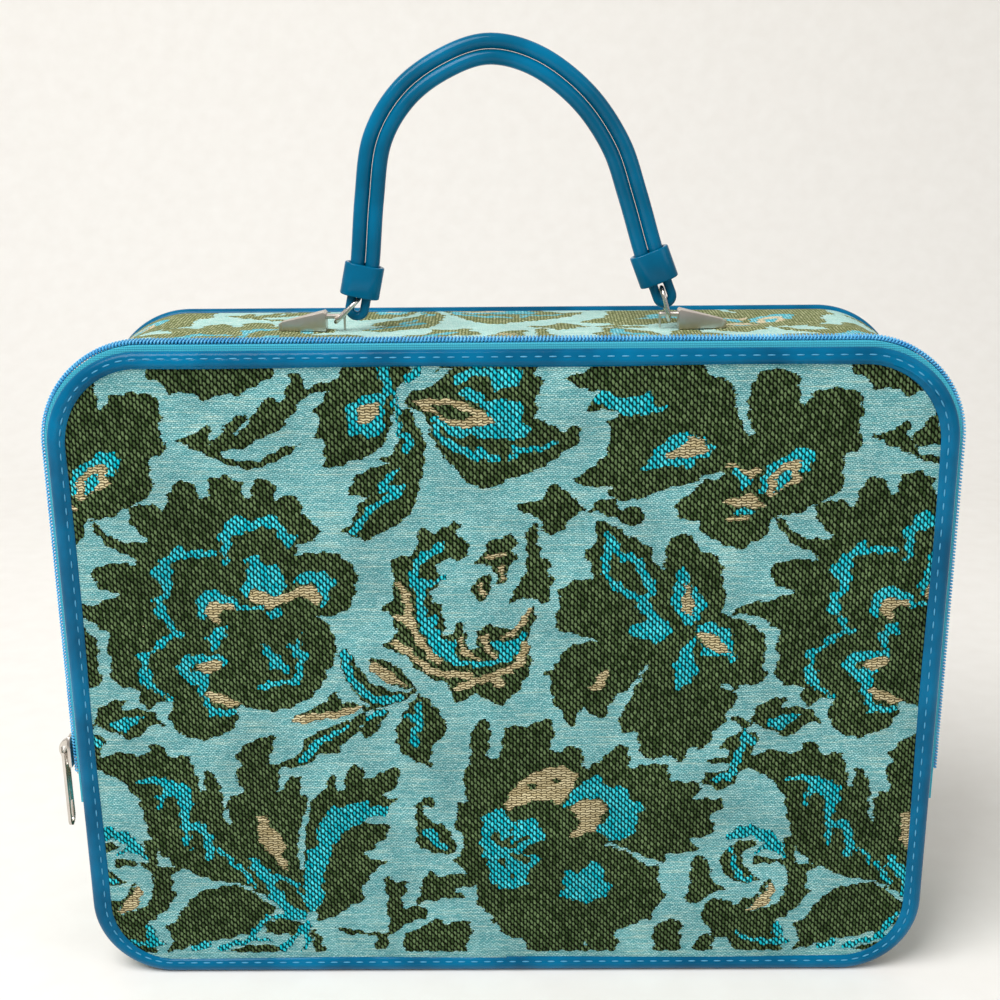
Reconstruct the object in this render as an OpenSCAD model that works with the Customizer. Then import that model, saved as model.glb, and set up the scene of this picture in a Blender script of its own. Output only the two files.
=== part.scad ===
// Tapestry overnight case with a zip-round front flap and a doubled tube handle.
// Millimetres. The case stands on z = 0, centred on x and y, with the front towards -y.

/* [Case] */
// Width over the side gusset
case_w = 370; // [330:1:410]
// Height to the top of the gusset
case_h = 286; // [250:1:320]
// Depth over both bindings
case_d = 108; // [90:1:130]
// Radius of the gusset's lower corners
corner_r = 34; // [28:1:40]
// Radius of the gusset's upper corners
top_r = 39; // [32:1:44]
// Thickness of the gusset band
gusset_t = 2.6; // [2.2:0.1:3.4]
// Thickness of the tapestry on the front and back
cloth_t = 1.6; // [1.2:0.1:2]
// Thickness of the stiffening boards
board_t = 2.8; // [2.2:0.1:3.4]
// Thickness of the lining
lining_t = 0.8; // [0.6:0.1:1.2]

/* [Binding] */
// Diameter of the rolled outer edge
bead_d = 5.4; // [4.6:0.1:6.2]
// Width of the binding on the face
binding_w = 8; // [7.4:0.1:10]
// Thickness of the vinyl strip that lies on the cloth
vinyl_t = 1; // [0.7:0.1:1.4]
// How far the rolled edge stands out in front of the strip
bead_proud = 0.4; // [0.2:0.1:0.8]
// How far the rolled edge stands out past the gusset
binding_out = 1; // [0.6:0.1:1.4]

/* [Flap] */
// Height of the fold where the flap turns down
fold_z = 84; // [70:1:95]
// Gap between the flap and the fixed lower front
fold_gap = 0.6; // [0.4:0.1:1]

/* [Zip] */
// How far the zip stands out from the gusset
zip_lift = 5; // [4:0.1:6]
// Distance from the front face to the middle of the zip
zip_set = 9.4; // [9:0.1:11]
// Width of one coil row
coil_w = 2.3; // [2:0.1:2.6]
// Thickness of the coil rows
coil_t = 2.2; // [1.8:0.1:2.6]
// Channel between the two rows that the slider's post runs in
coil_gap = 1.8; // [1.6:0.1:2.2]
// Thickness of the zip tape
tape_t = 0.8; // [0.6:0.1:1]
// Height at which the coil rows end
coil_end = 98; // [96:1:102]
// Height of the slider's middle
slider_z = 108; // [106:1:116]
// Length of the slider
slider_l = 14; // [12:0.5:16]
// Running gap between the slider and the zip
slider_gap = 0.35; // [0.25:0.05:0.45]
// Thickness of the slider's plates
slider_t = 1.4; // [1.2:0.1:1.8]

/* [Pull] */
// Length of the pull below its crossbar
pull_l = 36; // [30:1:42]
// Width of the pull
pull_w = 7; // [6:0.2:8]
// Thickness of the pull
pull_t = 1.2; // [1:0.1:1.5]
// Diameter of the pull's crossbar
crossbar_d = 1.6; // [1.4:0.1:1.8]
// Thickness of the slider's bridge
bridge_t = 2.2; // [1.8:0.1:2.4]
// Radius of the bridge's outer curve
bridge_r = 5.2; // [4.8:0.1:5.6]

/* [Handle mounts] */
// Distance from the middle of the case to each ring's lower wire
mount_x = 72; // [60:1:90]
// Height of the eye bar over the gusset
bar_h = 5.9; // [5.6:0.1:6.5]
// Diameter of the eye bar
bar_d = 2.2; // [1.8:0.1:2.4]
// Diameter of the post that closes the eye
post_d = 1; // [0.8:0.1:1.1]
// Length of the claw
claw_l = 21; // [18:0.5:24]
// Height of the claw's thick end
claw_h = 8.2; // [7.6:0.1:9]
// Width of the claw's thick end
claw_w = 8.6; // [7.6:0.1:9.6]
// Height of the claw's blunt tip
tip_h = 3.8; // [3:0.1:4.6]
// Width of the claw's blunt tip
tip_w = 4.4; // [4:0.1:5.4]
// Diameter of the rivet shanks under the claw
rivet_d = 2.4; // [2:0.1:2.8]
// Thickness of the plate inside the case
plate_t = 1; // [0.8:0.1:1.4]

/* [Rings] */
// Diameter of the ring wire
wire_d = 1.9; // [1.6:0.1:2.1]
// Length of the ring between wire centres
ring_l = 14.3; // [13.8:0.1:15.2]
// Width of the ring between wire centres
ring_w = 9.1; // [8.4:0.1:9.6]
// Lean of the left ring towards the middle
lean_left = 46; // [44:1:47]
// Lean of the right ring towards the middle
lean_right = 14; // [10:1:16]

/* [Handle] */
// Height of the handle's middle line over the eye bars
handle_rise = 110; // [90:1:130]
// Diameter of the stuffed tube
tube_d = 6.2; // [5.8:0.1:6.6]
// Diameter of the bare tube in the end loops
loop_d = 4; // [3.8:0.1:4.1]
// How far the left loop's centre lies below the top of its ring
loop_drop_left = 4.5; // [4.3:0.1:4.6]
// How far the right loop's centre lies below the top of its ring
loop_drop_right = 4; // [3.6:0.1:4.4]
// Gap between the two runs of the tube
tube_gap = 0.2; // [0.2:0.1:0.4]
// Height of the keepers
keeper_h = 14; // [13:0.5:15]
// Wall of the keepers
keeper_t = 1.8; // [1.4:0.1:2.2]
// Gap between the tubes and the keepers
keeper_gap = 0.45; // [0.35:0.05:0.55]
// Distance from the left loop's centre up to its keeper
keeper_up_left = 12.5; // [12.5:0.5:14]
// Distance from the right loop's centre up to its keeper
keeper_up_right = 13.5; // [13:0.5:15]

/* [Hidden] */
$fn = 72;

aqua = "#93c9c2";
vinyl_blue = "#0a7fb4";
handle_blue = "#006f92";
tape_blue = "#3fa9bf";
coil_blue = "#2a8fd0";
nickel = "#b9aea4";
lining_blue = "#a9c4cf";
board_grey = "#b7ab94";

front_y = -case_d/2;
bead_r = bead_d/2;
// Outline of both bindings, which stand a little past the gusset
bind_w = case_w + 2*binding_out;
bind_h = case_h + binding_out;
bind_r = corner_r + binding_out;
bind_top_r = top_r + binding_out;
// The panels fill the outline inside the rolled edge
panel_w = bind_w - 2*bead_d;
panel_h = bind_h - 2*bead_d;
panel_r = bind_r - bead_d;
panel_top_r = bind_top_r - bead_d;
// Layers of the front, from the cloth's face inwards; the back mirrors them
cloth_y = front_y + bead_proud + vinyl_t;
board_y = cloth_y + cloth_t;
lining_y = board_y + board_t;
seam_y = front_y + bead_d;
// Outline of the zip and places across it
zip_w = case_w + 2*zip_lift;
zip_h = case_h + zip_lift;
zip_r = top_r + zip_lift;
zip_y = front_y + zip_set;
row_in = coil_gap/2;
row_out = coil_gap/2 + coil_w;
hem_gap = 1.2;
hem_y = zip_y + row_out + hem_gap;
hem_run = 10;
band_y = hem_y + hem_run;
fold_low = fold_z - fold_gap/2;
fold_high = fold_z + fold_gap/2;
// Slider and pull
plate_in = coil_t + tape_t + slider_gap;
bridge_base = slider_gap + slider_t;
bridge_c = bridge_base - 0.6;
hole_r = crossbar_d/2 + slider_gap;
hole_u = bridge_c + bridge_r - hole_r - 1.15;
hole_z = -0.8;
hole_run = 2;
pull_x = -(zip_w/2 + hole_u);
pull_z = slider_z + hole_z;
// Eye bars, rings and loops
bar_z = case_h + bar_h;
wire_z = bar_z - bar_d/2 - wire_d/2 - 0.3;
claw_x = mount_x + 4;
post_x = mount_x - 3.4;
ring_top_left = [-mount_x + ring_l*sin(lean_left), wire_z + ring_l*cos(lean_left)];
ring_top_right = [mount_x - ring_l*sin(lean_right), wire_z + ring_l*cos(lean_right)];
run_d = (tube_d + tube_gap)/2;
tilt_left = 12;
tilt_right = 21;
axis_left = [sin(tilt_left), cos(tilt_left)];
axis_right = [-sin(tilt_right), cos(tilt_right)];
loop_left = ring_top_left - loop_drop_left*axis_left;
loop_right = ring_top_right - loop_drop_right*axis_right;
keeper_c_left = loop_left + keeper_up_left*axis_left;
keeper_c_right = loop_right + keeper_up_right*axis_right;
// Shape of the arch, as shares of the half span and of the rise
arch = [
  [-0.776, 0.45], [-0.72, 0.67], [-0.565, 0.835], [-0.335, 0.945], [-0.07, 1],
  [0.21, 0.955], [0.475, 0.825], [0.665, 0.65], [0.77, 0.46]
];
handle_pts = concat(
  [loop_left, loop_left + (keeper_up_left - keeper_h/2)*axis_left,
   loop_left + (keeper_up_left + keeper_h/2)*axis_left],
  [for (p = arch) [p[0]*mount_x, bar_z + p[1]*handle_rise]],
  [loop_right + (keeper_up_right + keeper_h/2)*axis_right,
   loop_right + (keeper_up_right - keeper_h/2)*axis_right, loop_right]
);

// Flat shapes are drawn in x and z and given their depth along y
module slab(y, t) {
  translate([0, y + t, 0]) rotate([90, 0, 0]) linear_extrude(t) children();
}

module outline(w, h, low_r, high_r, z = 0) {
  translate([-w/2, z + low_r]) square([w, h - low_r - high_r]);
  translate([-w/2 + low_r, z]) square([w - 2*low_r, 0.55*h]);
  translate([-w/2 + high_r, z + 0.45*h]) square([w - 2*high_r, 0.55*h]);
  for (sx = [-1, 1]) {
    translate([sx*(w/2 - low_r), z + low_r]) circle(low_r);
    translate([sx*(w/2 - high_r), z + h - high_r]) circle(high_r);
  }
}

module panel_outline() {
  outline(panel_w, panel_h, panel_r, panel_top_r, bead_d);
}

module band(w, h, low_r, high_r, t) {
  difference() {
    outline(w, h, low_r, high_r);
    outline(w - 2*t, h - 2*t, low_r - t, high_r - t, t);
  }
}

module below(z) {
  translate([-case_w, -case_d, -case_h]) cube([2*case_w, 2*case_d, case_h + z]);
}

module above(z) {
  translate([-case_w, -case_d, z]) cube([2*case_w, 2*case_d, 2*case_h]);
}

// A profile carried round the outline: its x points out of the case, its y towards the front
module run(len) {
  rotate([90, 0, 90]) linear_extrude(len) children();
}

module bend(r, turn) {
  rotate([0, 0, turn]) rotate_extrude(angle = 90) translate([r, 0]) children();
}

// Up one side from z0, over the top and down the other side
module over_top(w, h, r, z0) {
  rotate([90, 0, 0]) {
    translate([-w/2 + r, h, 0]) run(w - 2*r) children();
    translate([w/2 - r, h - r, 0]) bend(r, 0) children();
    translate([-w/2 + r, h - r, 0]) bend(r, 90) children();
    translate([w/2, h - r, 0]) rotate([0, 0, -90]) run(h - r - z0) children();
    translate([-w/2, z0, 0]) rotate([0, 0, 90]) run(h - r - z0) children();
  }
}

// Down one side from z1, along the bottom and up the other side
module under_base(w, r, z1) {
  rotate([90, 0, 0]) {
    translate([w/2 - r, 0, 0]) rotate([0, 0, 180]) run(w - 2*r) children();
    translate([w/2 - r, r, 0]) bend(r, 270) children();
    translate([-w/2 + r, r, 0]) bend(r, 180) children();
    translate([w/2, z1, 0]) rotate([0, 0, -90]) run(z1 - r) children();
    translate([-w/2, r, 0]) rotate([0, 0, 90]) run(z1 - r) children();
  }
}

// Rolled edge with a flat strip over the cloth
module binding_profile() {
  translate([-bead_r, -front_y - bead_r]) circle(bead_r, $fn = 32);
  translate([-binding_w, -cloth_y]) square([binding_w - bead_r, vinyl_t]);
}

module coil_profile(y0, y1) {
  top = (y1 - y0)/2;
  translate([-coil_t, y0]) square([coil_t - top, y1 - y0]);
  intersection() {
    translate([-top, (y0 + y1)/2]) circle(top, $fn = 32);
    translate([-coil_t, y0]) square([coil_t, y1 - y0]);
  }
}

module front_cloth() {
  color(aqua) slab(cloth_y, cloth_t) panel_outline();
}

// One strip: plain below the fold, and turned up to the zip along its front edge above it
module gusset() {
  color(aqua) difference() {
    union() {
      over_top(zip_w, zip_h, zip_r, fold_low) polygon([
        [-coil_t, -hem_y], [-zip_lift, -band_y], [-zip_lift, seam_y],
        [-zip_lift - gusset_t, seam_y], [-zip_lift - gusset_t, -band_y], [-coil_t - gusset_t, -hem_y]
      ]);
      under_base(case_w, corner_r, fold_low) {
        translate([-gusset_t, seam_y]) square([gusset_t, -2*seam_y]);
      }
    }
    for (sx = [-1, 1]) rivet_holes(sx, case_h);
  }
}

module lining() {
  in = gusset_t;
  w = case_w - 2*in;
  h = case_h - 2*in;
  low_r = corner_r - in;
  high_r = top_r - in;
  color(lining_blue) translate([0, 0, in]) difference() {
    union() {
      slab(band_y, -lining_y - band_y) band(w, h, low_r, high_r, lining_t);
      intersection() {
        slab(lining_y, band_y - lining_y) band(w, h, low_r, high_r, lining_t);
        below(fold_low - in);
      }
      slab(-lining_y - lining_t, lining_t) outline(w, h, low_r, high_r);
      intersection() {
        slab(lining_y, lining_t) outline(w, h, low_r, high_r);
        below(fold_low - in);
      }
    }
    for (sx = [-1, 1]) rivet_holes(sx, case_h);
  }
}

module back_panel() {
  color(aqua) slab(-cloth_y - cloth_t, cloth_t) panel_outline();
}

module back_board() {
  color(board_grey) slab(-board_y - board_t, board_t) panel_outline();
}

module back_binding() {
  color(vinyl_blue) mirror([0, 1, 0]) {
    over_top(bind_w, bind_h, bind_top_r, bind_h/2) binding_profile();
    under_base(bind_w, bind_r, bind_h/2) binding_profile();
  }
}

module front_panel() {
  intersection() {
    front_cloth();
    below(fold_low);
  }
}

module front_board() {
  color(board_grey) intersection() {
    slab(board_y, board_t) panel_outline();
    below(fold_low);
  }
}

module front_binding() {
  color(vinyl_blue) under_base(bind_w, bind_r, fold_low) binding_profile();
}

module flap_panel() {
  intersection() {
    front_cloth();
    above(fold_high);
  }
}

module flap_board() {
  color(board_grey) intersection() {
    slab(board_y, board_t) panel_outline();
    above(fold_high);
  }
}

module flap_lining() {
  color(lining_blue) intersection() {
    slab(lining_y, lining_t) panel_outline();
    above(fold_high);
  }
}

module flap_binding() {
  color(vinyl_blue) over_top(bind_w, bind_h, bind_top_r, fold_high) binding_profile();
}

// Flat under the coil, up to the gusset's hem
module zip_tape_case() {
  color(tape_blue) over_top(zip_w, zip_h, zip_r, fold_z) {
    translate([-coil_t - tape_t, -hem_y]) square([tape_t, hem_gap + coil_w]);
  }
}

module zip_coil_case() {
  color(coil_blue) over_top(zip_w, zip_h, zip_r, coil_end) {
    coil_profile(-zip_y - row_out, -zip_y - row_in);
  }
}

// Crimped stops that close the ends of the case row
module zip_stops() {
  stop_h = 2.4;
  color(nickel) for (sx = [-1, 1]) {
    translate([sx*(zip_w/2 - coil_t/2), zip_y + row_in + coil_w/2, coil_end - stop_h/2]) {
      cube([coil_t, coil_w, stop_h], center = true);
    }
  }
}

// Flat under the coil, then down behind the binding's rolled edge
module zip_tape_flap() {
  fall = zip_lift - binding_out + bead_r + 0.3;
  color(tape_blue) over_top(zip_w, zip_h, zip_r, fold_high) {
    translate([-coil_t - tape_t, -zip_y + row_in]) square([tape_t, -seam_y + zip_y - row_in]);
    translate([-fall, -seam_y - tape_t]) square([fall - coil_t, tape_t]);
  }
}

module zip_coil_flap() {
  color(coil_blue) over_top(zip_w, zip_h, zip_r, coil_end) {
    coil_profile(-zip_y + row_in, -zip_y + row_out);
  }
}

// Slider on the left side: local x points out of the case and local z up
module on_left_side() {
  translate([-zip_w/2, zip_y, slider_z]) mirror([1, 0, 0]) children();
}

module zip_slider() {
  lip_y = row_out + slider_gap;
  lip_t = hem_gap - 2*slider_gap;
  front_w = -seam_y - tape_t + zip_y - slider_gap;
  half = slider_l/2;
  color(nickel) on_left_side() {
    // outer plate, wider at the mouth below
    translate([slider_gap, 0, 0]) rotate([90, 0, 90]) linear_extrude(slider_t) polygon([
      [-lip_y - lip_t, -half + 2], [-lip_y, -half], [lip_y, -half], [lip_y + lip_t, -half + 2],
      [lip_y + lip_t, half - 3], [lip_y - 1.2, half], [-lip_y + 1.2, half], [-lip_y - lip_t, half - 3]
    ]);
    // inner plate
    translate([-plate_in - slider_t, -front_w, -half]) {
      cube([slider_t, front_w + lip_y + lip_t/2, slider_l]);
    }
    // post between the plates and lip behind the rear row
    translate([-plate_in, -row_in + slider_gap/2, -half + 0.8]) {
      cube([plate_in + slider_gap, coil_gap - slider_gap, 3.6]);
    }
    translate([-coil_t*0.7, lip_y, -half + 2]) cube([coil_t*0.7 + slider_gap, lip_t, slider_l - 5]);
    // bridge that the pull hangs from
    translate([0, bridge_t/2, 0]) rotate([90, 0, 0]) linear_extrude(bridge_t) difference() {
      intersection() {
        translate([bridge_c, 0.5]) circle(bridge_r);
        translate([bridge_base - 0.2, -slider_l]) square([2*bridge_r, 2*slider_l]);
      }
      translate([hole_u, hole_z]) circle(hole_r, $fn = 32);
      translate([hole_u, hole_z + hole_run]) circle(hole_r, $fn = 32);
      translate([hole_u - hole_r, hole_z]) square([2*hole_r, hole_run]);
    }
  }
}

module zip_pull() {
  slot_w = bridge_t + 2*slider_gap;
  slot_l = bridge_r + 1.2;
  eye_w = pull_w*0.46;
  tail = pull_l - pull_w/2;
  color(nickel) translate([pull_x, zip_y, pull_z]) {
    translate([-pull_t/2, 0, 0]) rotate([90, 0, 90]) linear_extrude(pull_t) difference() {
      union() {
        translate([-pull_w/2, -tail]) square([pull_w, tail + crossbar_d/2]);
        translate([0, -tail]) circle(pull_w/2);
      }
      translate([-slot_w/2, -slot_l]) square([slot_w, slot_l + crossbar_d]);
      translate([0, -tail]) circle(eye_w/2, $fn = 32);
      translate([0, -tail + 7]) circle(eye_w/2, $fn = 32);
      translate([-eye_w/2, -tail]) square([eye_w, 7]);
    }
    rotate([90, 0, 0]) cylinder(d = crossbar_d, h = pull_w, center = true, $fn = 32);
  }
}

module rivet_holes(sx, z) {
  for (k = [0.2, 0.62]) {
    translate([sx*(claw_x + k*claw_l), 0, z - 20]) cylinder(d = rivet_d + 0.1, h = 30, $fn = 24);
  }
}

// Wedge that falls from its thick end to a blunt tip
module claw() {
  intersection() {
    translate([0, claw_w, 0]) rotate([90, 0, 0]) linear_extrude(2*claw_w) polygon([
      [0, 0], [0, claw_h - 0.8], [0.8, claw_h], [claw_l - 2, tip_h], [claw_l + 1, tip_h - 1.8], [claw_l + 1, 0]
    ]);
    translate([0, 0, -1]) linear_extrude(claw_h + 2) {
      polygon([
        [-1, -claw_w/2], [claw_l - tip_w/2, -0.45*tip_w], [claw_l - tip_w/2, 0.45*tip_w], [-1, claw_w/2]
      ]);
      translate([claw_l - tip_w/2, 0]) circle(d = tip_w, $fn = 32);
    }
  }
}

// Claw on the gusset with an eye bar at its inner end; drawn for the right side
module mount() {
  rivet_drop = gusset_t + lining_t + plate_t;
  color(nickel) translate([0, 0, case_h]) {
    translate([claw_x, 0, 0]) claw();
    translate([post_x, 0, bar_h]) rotate([0, 90, 0]) {
      cylinder(d = bar_d, h = claw_x - post_x + 1, $fn = 32);
    }
    translate([post_x, 0, bar_h]) sphere(d = bar_d, $fn = 32);
    translate([post_x - 0.4*post_d, 0, 0]) cylinder(d = post_d, h = bar_h, $fn = 32);
    for (k = [0.2, 0.62]) translate([claw_x + k*claw_l, 0, -rivet_drop - 0.8]) {
      cylinder(d = rivet_d, h = rivet_drop + 1.6, $fn = 24);
      cylinder(d = rivet_d*1.8, h = 0.8, $fn = 24);
    }
  }
}

module mount_right() {
  mount();
}

module mount_left() {
  mirror([1, 0, 0]) mount();
}

// Plate that spreads the handle's pull under the lining
module mount_plate() {
  color(nickel) difference() {
    translate([claw_x - 3, -claw_w/2, case_h - gusset_t - lining_t - plate_t]) {
      cube([claw_l, claw_w, plate_t]);
    }
    rivet_holes(1, case_h);
  }
}

module mount_plate_right() {
  mount_plate();
}

module mount_plate_left() {
  mirror([1, 0, 0]) mount_plate();
}

// Wire ring with round ends; its lower wire lies at the origin along y
module wire_ring() {
  r = ring_w/2;
  side = ring_l - ring_w;
  color(nickel) {
    translate([0, 0, r]) rotate([90, 0, 90]) rotate([0, 0, 180]) rotate_extrude(angle = 180) {
      translate([r, 0]) circle(d = wire_d, $fn = 24);
    }
    translate([0, 0, r + side]) rotate([90, 0, 90]) rotate_extrude(angle = 180) {
      translate([r, 0]) circle(d = wire_d, $fn = 24);
    }
    for (sy = [-1, 1]) translate([0, sy*r, r]) cylinder(d = wire_d, h = side, $fn = 24);
  }
}

module ring_left() {
  translate([-mount_x, 0, wire_z]) rotate([0, lean_left, 0]) wire_ring();
}

module ring_right() {
  translate([mount_x, 0, wire_z]) rotate([0, -lean_right, 0]) wire_ring();
}

// Oval sleeve that holds the two runs together
module keeper(pos, tilt) {
  r = tube_d/2 + keeper_gap;
  color(handle_blue) translate([pos[0], 0, pos[1]]) rotate([0, tilt, 0]) {
    translate([0, 0, -keeper_h/2]) linear_extrude(keeper_h) difference() {
      capsule(run_d, r + keeper_t);
      capsule(run_d, r);
    }
  }
}

module capsule(half, r) {
  for (sx = [-1, 1]) translate([sx*half, 0]) circle(r);
  translate([-half, -r]) square([2*half, 2*r]);
}

module keeper_left() {
  keeper(keeper_c_left, tilt_left);
}

module keeper_right() {
  keeper(keeper_c_right, -tilt_right);
}

// Smooth curve through points, and its direction
function curve(p, i, t) =
  let (n = len(p) - 1, a = p[max(i - 1, 0)], b = p[i], c = p[i + 1], d = p[min(i + 2, n)])
  0.5*(2*b + (c - a)*t + (2*a - 5*b + 4*c - d)*t*t + (3*b - a - 3*c + d)*t*t*t);
function heading(p, i, t) =
  let (v = i + t > 0.001 && i + t < len(p) - 1.001
         ? curve(p, i, min(t + 0.01, 1)) - curve(p, i, max(t - 0.01, 0))
         : (i == 0 ? p[1] - p[0] : p[i + 1] - p[i]))
  v/norm(v);
function blend(t) = t <= 0 ? 0 : t >= 1 ? 1 : t*t*(3 - 2*t);
// The tube is full inside the keepers and thin in the end loops
function tube_r(p) =
  let (up = min((p - loop_left)*axis_left - keeper_up_left, (p - loop_right)*axis_right - keeper_up_right))
  loop_d/2 + (tube_d - loop_d)/2*blend(2.2*up/keeper_h + 1.35);

module handle_tube() {
  step = 5;
  sides = 12;
  turn = 8;
  last = len(handle_pts) - 2;
  mid = concat(
    [for (i = [0 : last], k = [0 : step - 1]) [curve(handle_pts, i, k/step), heading(handle_pts, i, k/step)]],
    [[handle_pts[last + 1], heading(handle_pts, last, 1)]]
  );
  n = len(mid) - 1;
  // rows of [centre, direction across the tube, radius]
  outer = [for (m = mid) let (s = [-m[1][1], m[1][0]]) [m[0] + run_d*s, s, tube_r(m[0])]];
  inner = [for (k = [n : -1 : 0]) let (m = mid[k], s = [m[1][1], -m[1][0]])
    [m[0] + run_d*s, s, tube_r(m[0])]];
  rows = concat(
    outer,
    [for (k = [1 : turn - 1]) loop_row(mid[n], 180*k/turn, 1)],
    inner,
    [for (k = [1 : turn - 1]) loop_row(mid[0], 180*k/turn, -1)]
  );
  rings = len(rows);
  pts = [for (r = rows, j = [0 : sides - 1]) let (a = 360*j/sides)
    [r[0][0] + r[2]*cos(a)*r[1][0], r[2]*sin(a), r[0][1] + r[2]*cos(a)*r[1][1]]];
  faces = [for (i = [0 : rings - 1], j = [0 : sides - 1]) let (i2 = (i + 1)%rings, j2 = (j + 1)%sides)
    [i*sides + j, i*sides + j2, i2*sides + j2, i2*sides + j]];
  color(handle_blue) polyhedron(pts, faces, convexity = 8);
}

// One row of the half turn at an end of the handle
function loop_row(m, a, way) =
  let (d = m[1]*way, s = [-d[1], d[0]], q = s*cos(a) + d*sin(a)) [m[0] + run_d*q, q, loop_d/2];

gusset();
lining();
back_panel();
back_board();
back_binding();
front_panel();
front_board();
front_binding();
flap_panel();
flap_board();
flap_lining();
flap_binding();
zip_tape_case();
zip_coil_case();
zip_stops();
zip_tape_flap();
zip_coil_flap();
zip_slider();
zip_pull();
mount_left();
mount_right();
mount_plate_left();
mount_plate_right();
ring_left();
ring_right();
keeper_left();
keeper_right();
handle_tube();
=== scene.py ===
# %% [markdown]
# A tapestry overnight case from the middle of the last century: two boarded faces and a gusset in
# jacquard cloth, blue vinyl binding, a zip round three sides and a doubled vinyl tube for a handle.
# The solids come in first, as a fixed frame in metres. Every piece below is dressed onto them.

# %% Load the frame
import math
import bpy
import numpy as np
from mathutils import Matrix, Vector


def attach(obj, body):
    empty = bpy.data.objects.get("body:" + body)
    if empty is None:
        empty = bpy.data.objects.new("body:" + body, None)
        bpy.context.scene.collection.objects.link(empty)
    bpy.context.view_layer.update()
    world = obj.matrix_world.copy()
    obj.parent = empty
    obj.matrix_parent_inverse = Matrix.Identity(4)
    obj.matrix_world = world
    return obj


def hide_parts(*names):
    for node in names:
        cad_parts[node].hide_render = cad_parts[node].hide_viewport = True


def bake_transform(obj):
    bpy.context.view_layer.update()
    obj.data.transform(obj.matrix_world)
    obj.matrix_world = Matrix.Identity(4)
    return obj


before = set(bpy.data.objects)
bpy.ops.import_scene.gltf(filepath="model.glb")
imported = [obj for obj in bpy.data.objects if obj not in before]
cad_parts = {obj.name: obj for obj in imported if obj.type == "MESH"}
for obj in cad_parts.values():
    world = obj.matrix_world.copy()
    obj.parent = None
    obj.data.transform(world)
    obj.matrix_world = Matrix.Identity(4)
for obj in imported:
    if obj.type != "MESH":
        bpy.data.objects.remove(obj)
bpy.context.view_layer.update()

MM = 0.001

# %% [markdown]
# The photograph is taken from in front and a little above, with a short telephoto lens. The camera
# stands where the straight edges of the front face agree with the picture.

# %% Camera
EYE = Vector((0.0026, -0.6226, 0.3987))
PITCH, YAW, ROLL = (math.radians(a) for a in (17.01, -0.385, -0.461))
LENS, SENSOR = 52.16, 36
ahead = Vector((math.sin(YAW) * math.cos(PITCH), math.cos(YAW) * math.cos(PITCH), -math.sin(PITCH)))
right = Vector((math.cos(YAW), -math.sin(YAW), 0))
up = right.cross(ahead)
right, up = right * math.cos(ROLL) + up * math.sin(ROLL), up * math.cos(ROLL) - right * math.sin(ROLL)

bpy.ops.object.select_all(action="DESELECT")
bpy.ops.object.camera_add()
camera = bpy.context.object
camera.name = "photo_camera"
camera.matrix_world = Matrix.Translation(EYE) @ Matrix((right, up, -ahead)).transposed().to_4x4()
camera.data.lens, camera.data.sensor_width = LENS, SENSOR
bpy.context.scene.camera = camera
bpy.context.scene.view_settings.view_transform = "Standard"
print("camera at", [round(v, 3) for v in camera.location])

# %% [markdown]
# Most pieces here are strips and tubes that follow a line, so one helper makes them all: a grid
# primitive is added, and its corners are moved to where a function of the two directions puts them.
# The other helpers select one object, close seams, and give a piece its finish and its body.

# %% Helpers for meshes
MERGE = 0.01 * MM


def alone(piece=None):
    """Selects one object, or none."""
    bpy.ops.object.select_all(action="DESELECT")
    if piece:
        piece.select_set(True)
        bpy.context.view_layer.objects.active = piece


def points_of(piece):
    co = np.empty(len(piece.data.vertices) * 3, np.float32)
    piece.data.vertices.foreach_get("co", co)
    return co.reshape(-1, 3).astype(float)


def move_points(piece, co):
    piece.data.vertices.foreach_set("co", np.asarray(co, np.float32).ravel())
    piece.data.update()


def new_grid(name, columns, rows):
    """A flat grid, and where its corners lie in it, from 0 to 1 each way."""
    alone()
    bpy.ops.mesh.primitive_grid_add(x_subdivisions=columns, y_subdivisions=rows, size=2)
    piece = bpy.context.object
    piece.name = piece.data.name = name
    return piece, (points_of(piece)[:, :2] + 1) / 2


def shaped_grid(name, columns, rows, place):
    """A grid of columns by rows, moved to place(u, v) in mm, with u and v from 0 to 1."""
    piece, uv = new_grid(name, columns, rows)
    move_points(piece, np.stack(place(uv[:, 0], uv[:, 1]), 1) * MM)
    return piece


def close_seams(piece, smooth_angle):
    """Merges corners that meet, turns the faces outwards and smooths them."""
    alone(piece)
    bpy.ops.object.mode_set(mode="EDIT")
    bpy.ops.mesh.select_all(action="SELECT")
    bpy.ops.mesh.remove_doubles(threshold=MERGE)
    bpy.ops.mesh.normals_make_consistent(inside=False)
    bpy.ops.object.mode_set(mode="OBJECT")
    bpy.ops.object.shade_smooth_by_angle(angle=math.radians(smooth_angle))


def dress(piece, finish, slot, body, *nodes):
    """Gives a piece its material, its body and the solids it stands for; slot is not used."""
    piece.data.materials.clear()
    piece.data.materials.append(finish)
    if body:
        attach(piece, body)
    else:
        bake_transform(piece)
    if nodes:
        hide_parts(*nodes)
    print(piece.name, len(piece.data.polygons), "faces")


# %% [markdown]
# The materials are built from nodes by a few helpers: one turns an sRGB hex colour to linear light, one
# adds a node with its settings and links, and the rest are short names for the nodes used most. Each
# finish is named for what the real thing is made of.

# %% Helpers for materials
def colour(code):
    """Linear colour of an sRGB hex code."""
    parts = [int(code[i : i + 2], 16) / 255 for i in (1, 3, 5)]
    return (*[c / 12.92 if c <= 0.04045 else ((c + 0.055) / 1.055) ** 2.4 for c in parts], 1)


def add_node(tree, kind, inputs=None, **settings):
    """Adds a node; inputs are values or the output sockets to link."""
    node = tree.nodes.new(kind)
    for key, value in settings.items():
        setattr(node, key, value)
    for socket, value in (inputs or {}).items():
        if isinstance(value, bpy.types.NodeSocket):
            tree.links.new(value, node.inputs[socket])
        else:
            node.inputs[socket].default_value = value
    return node


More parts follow.
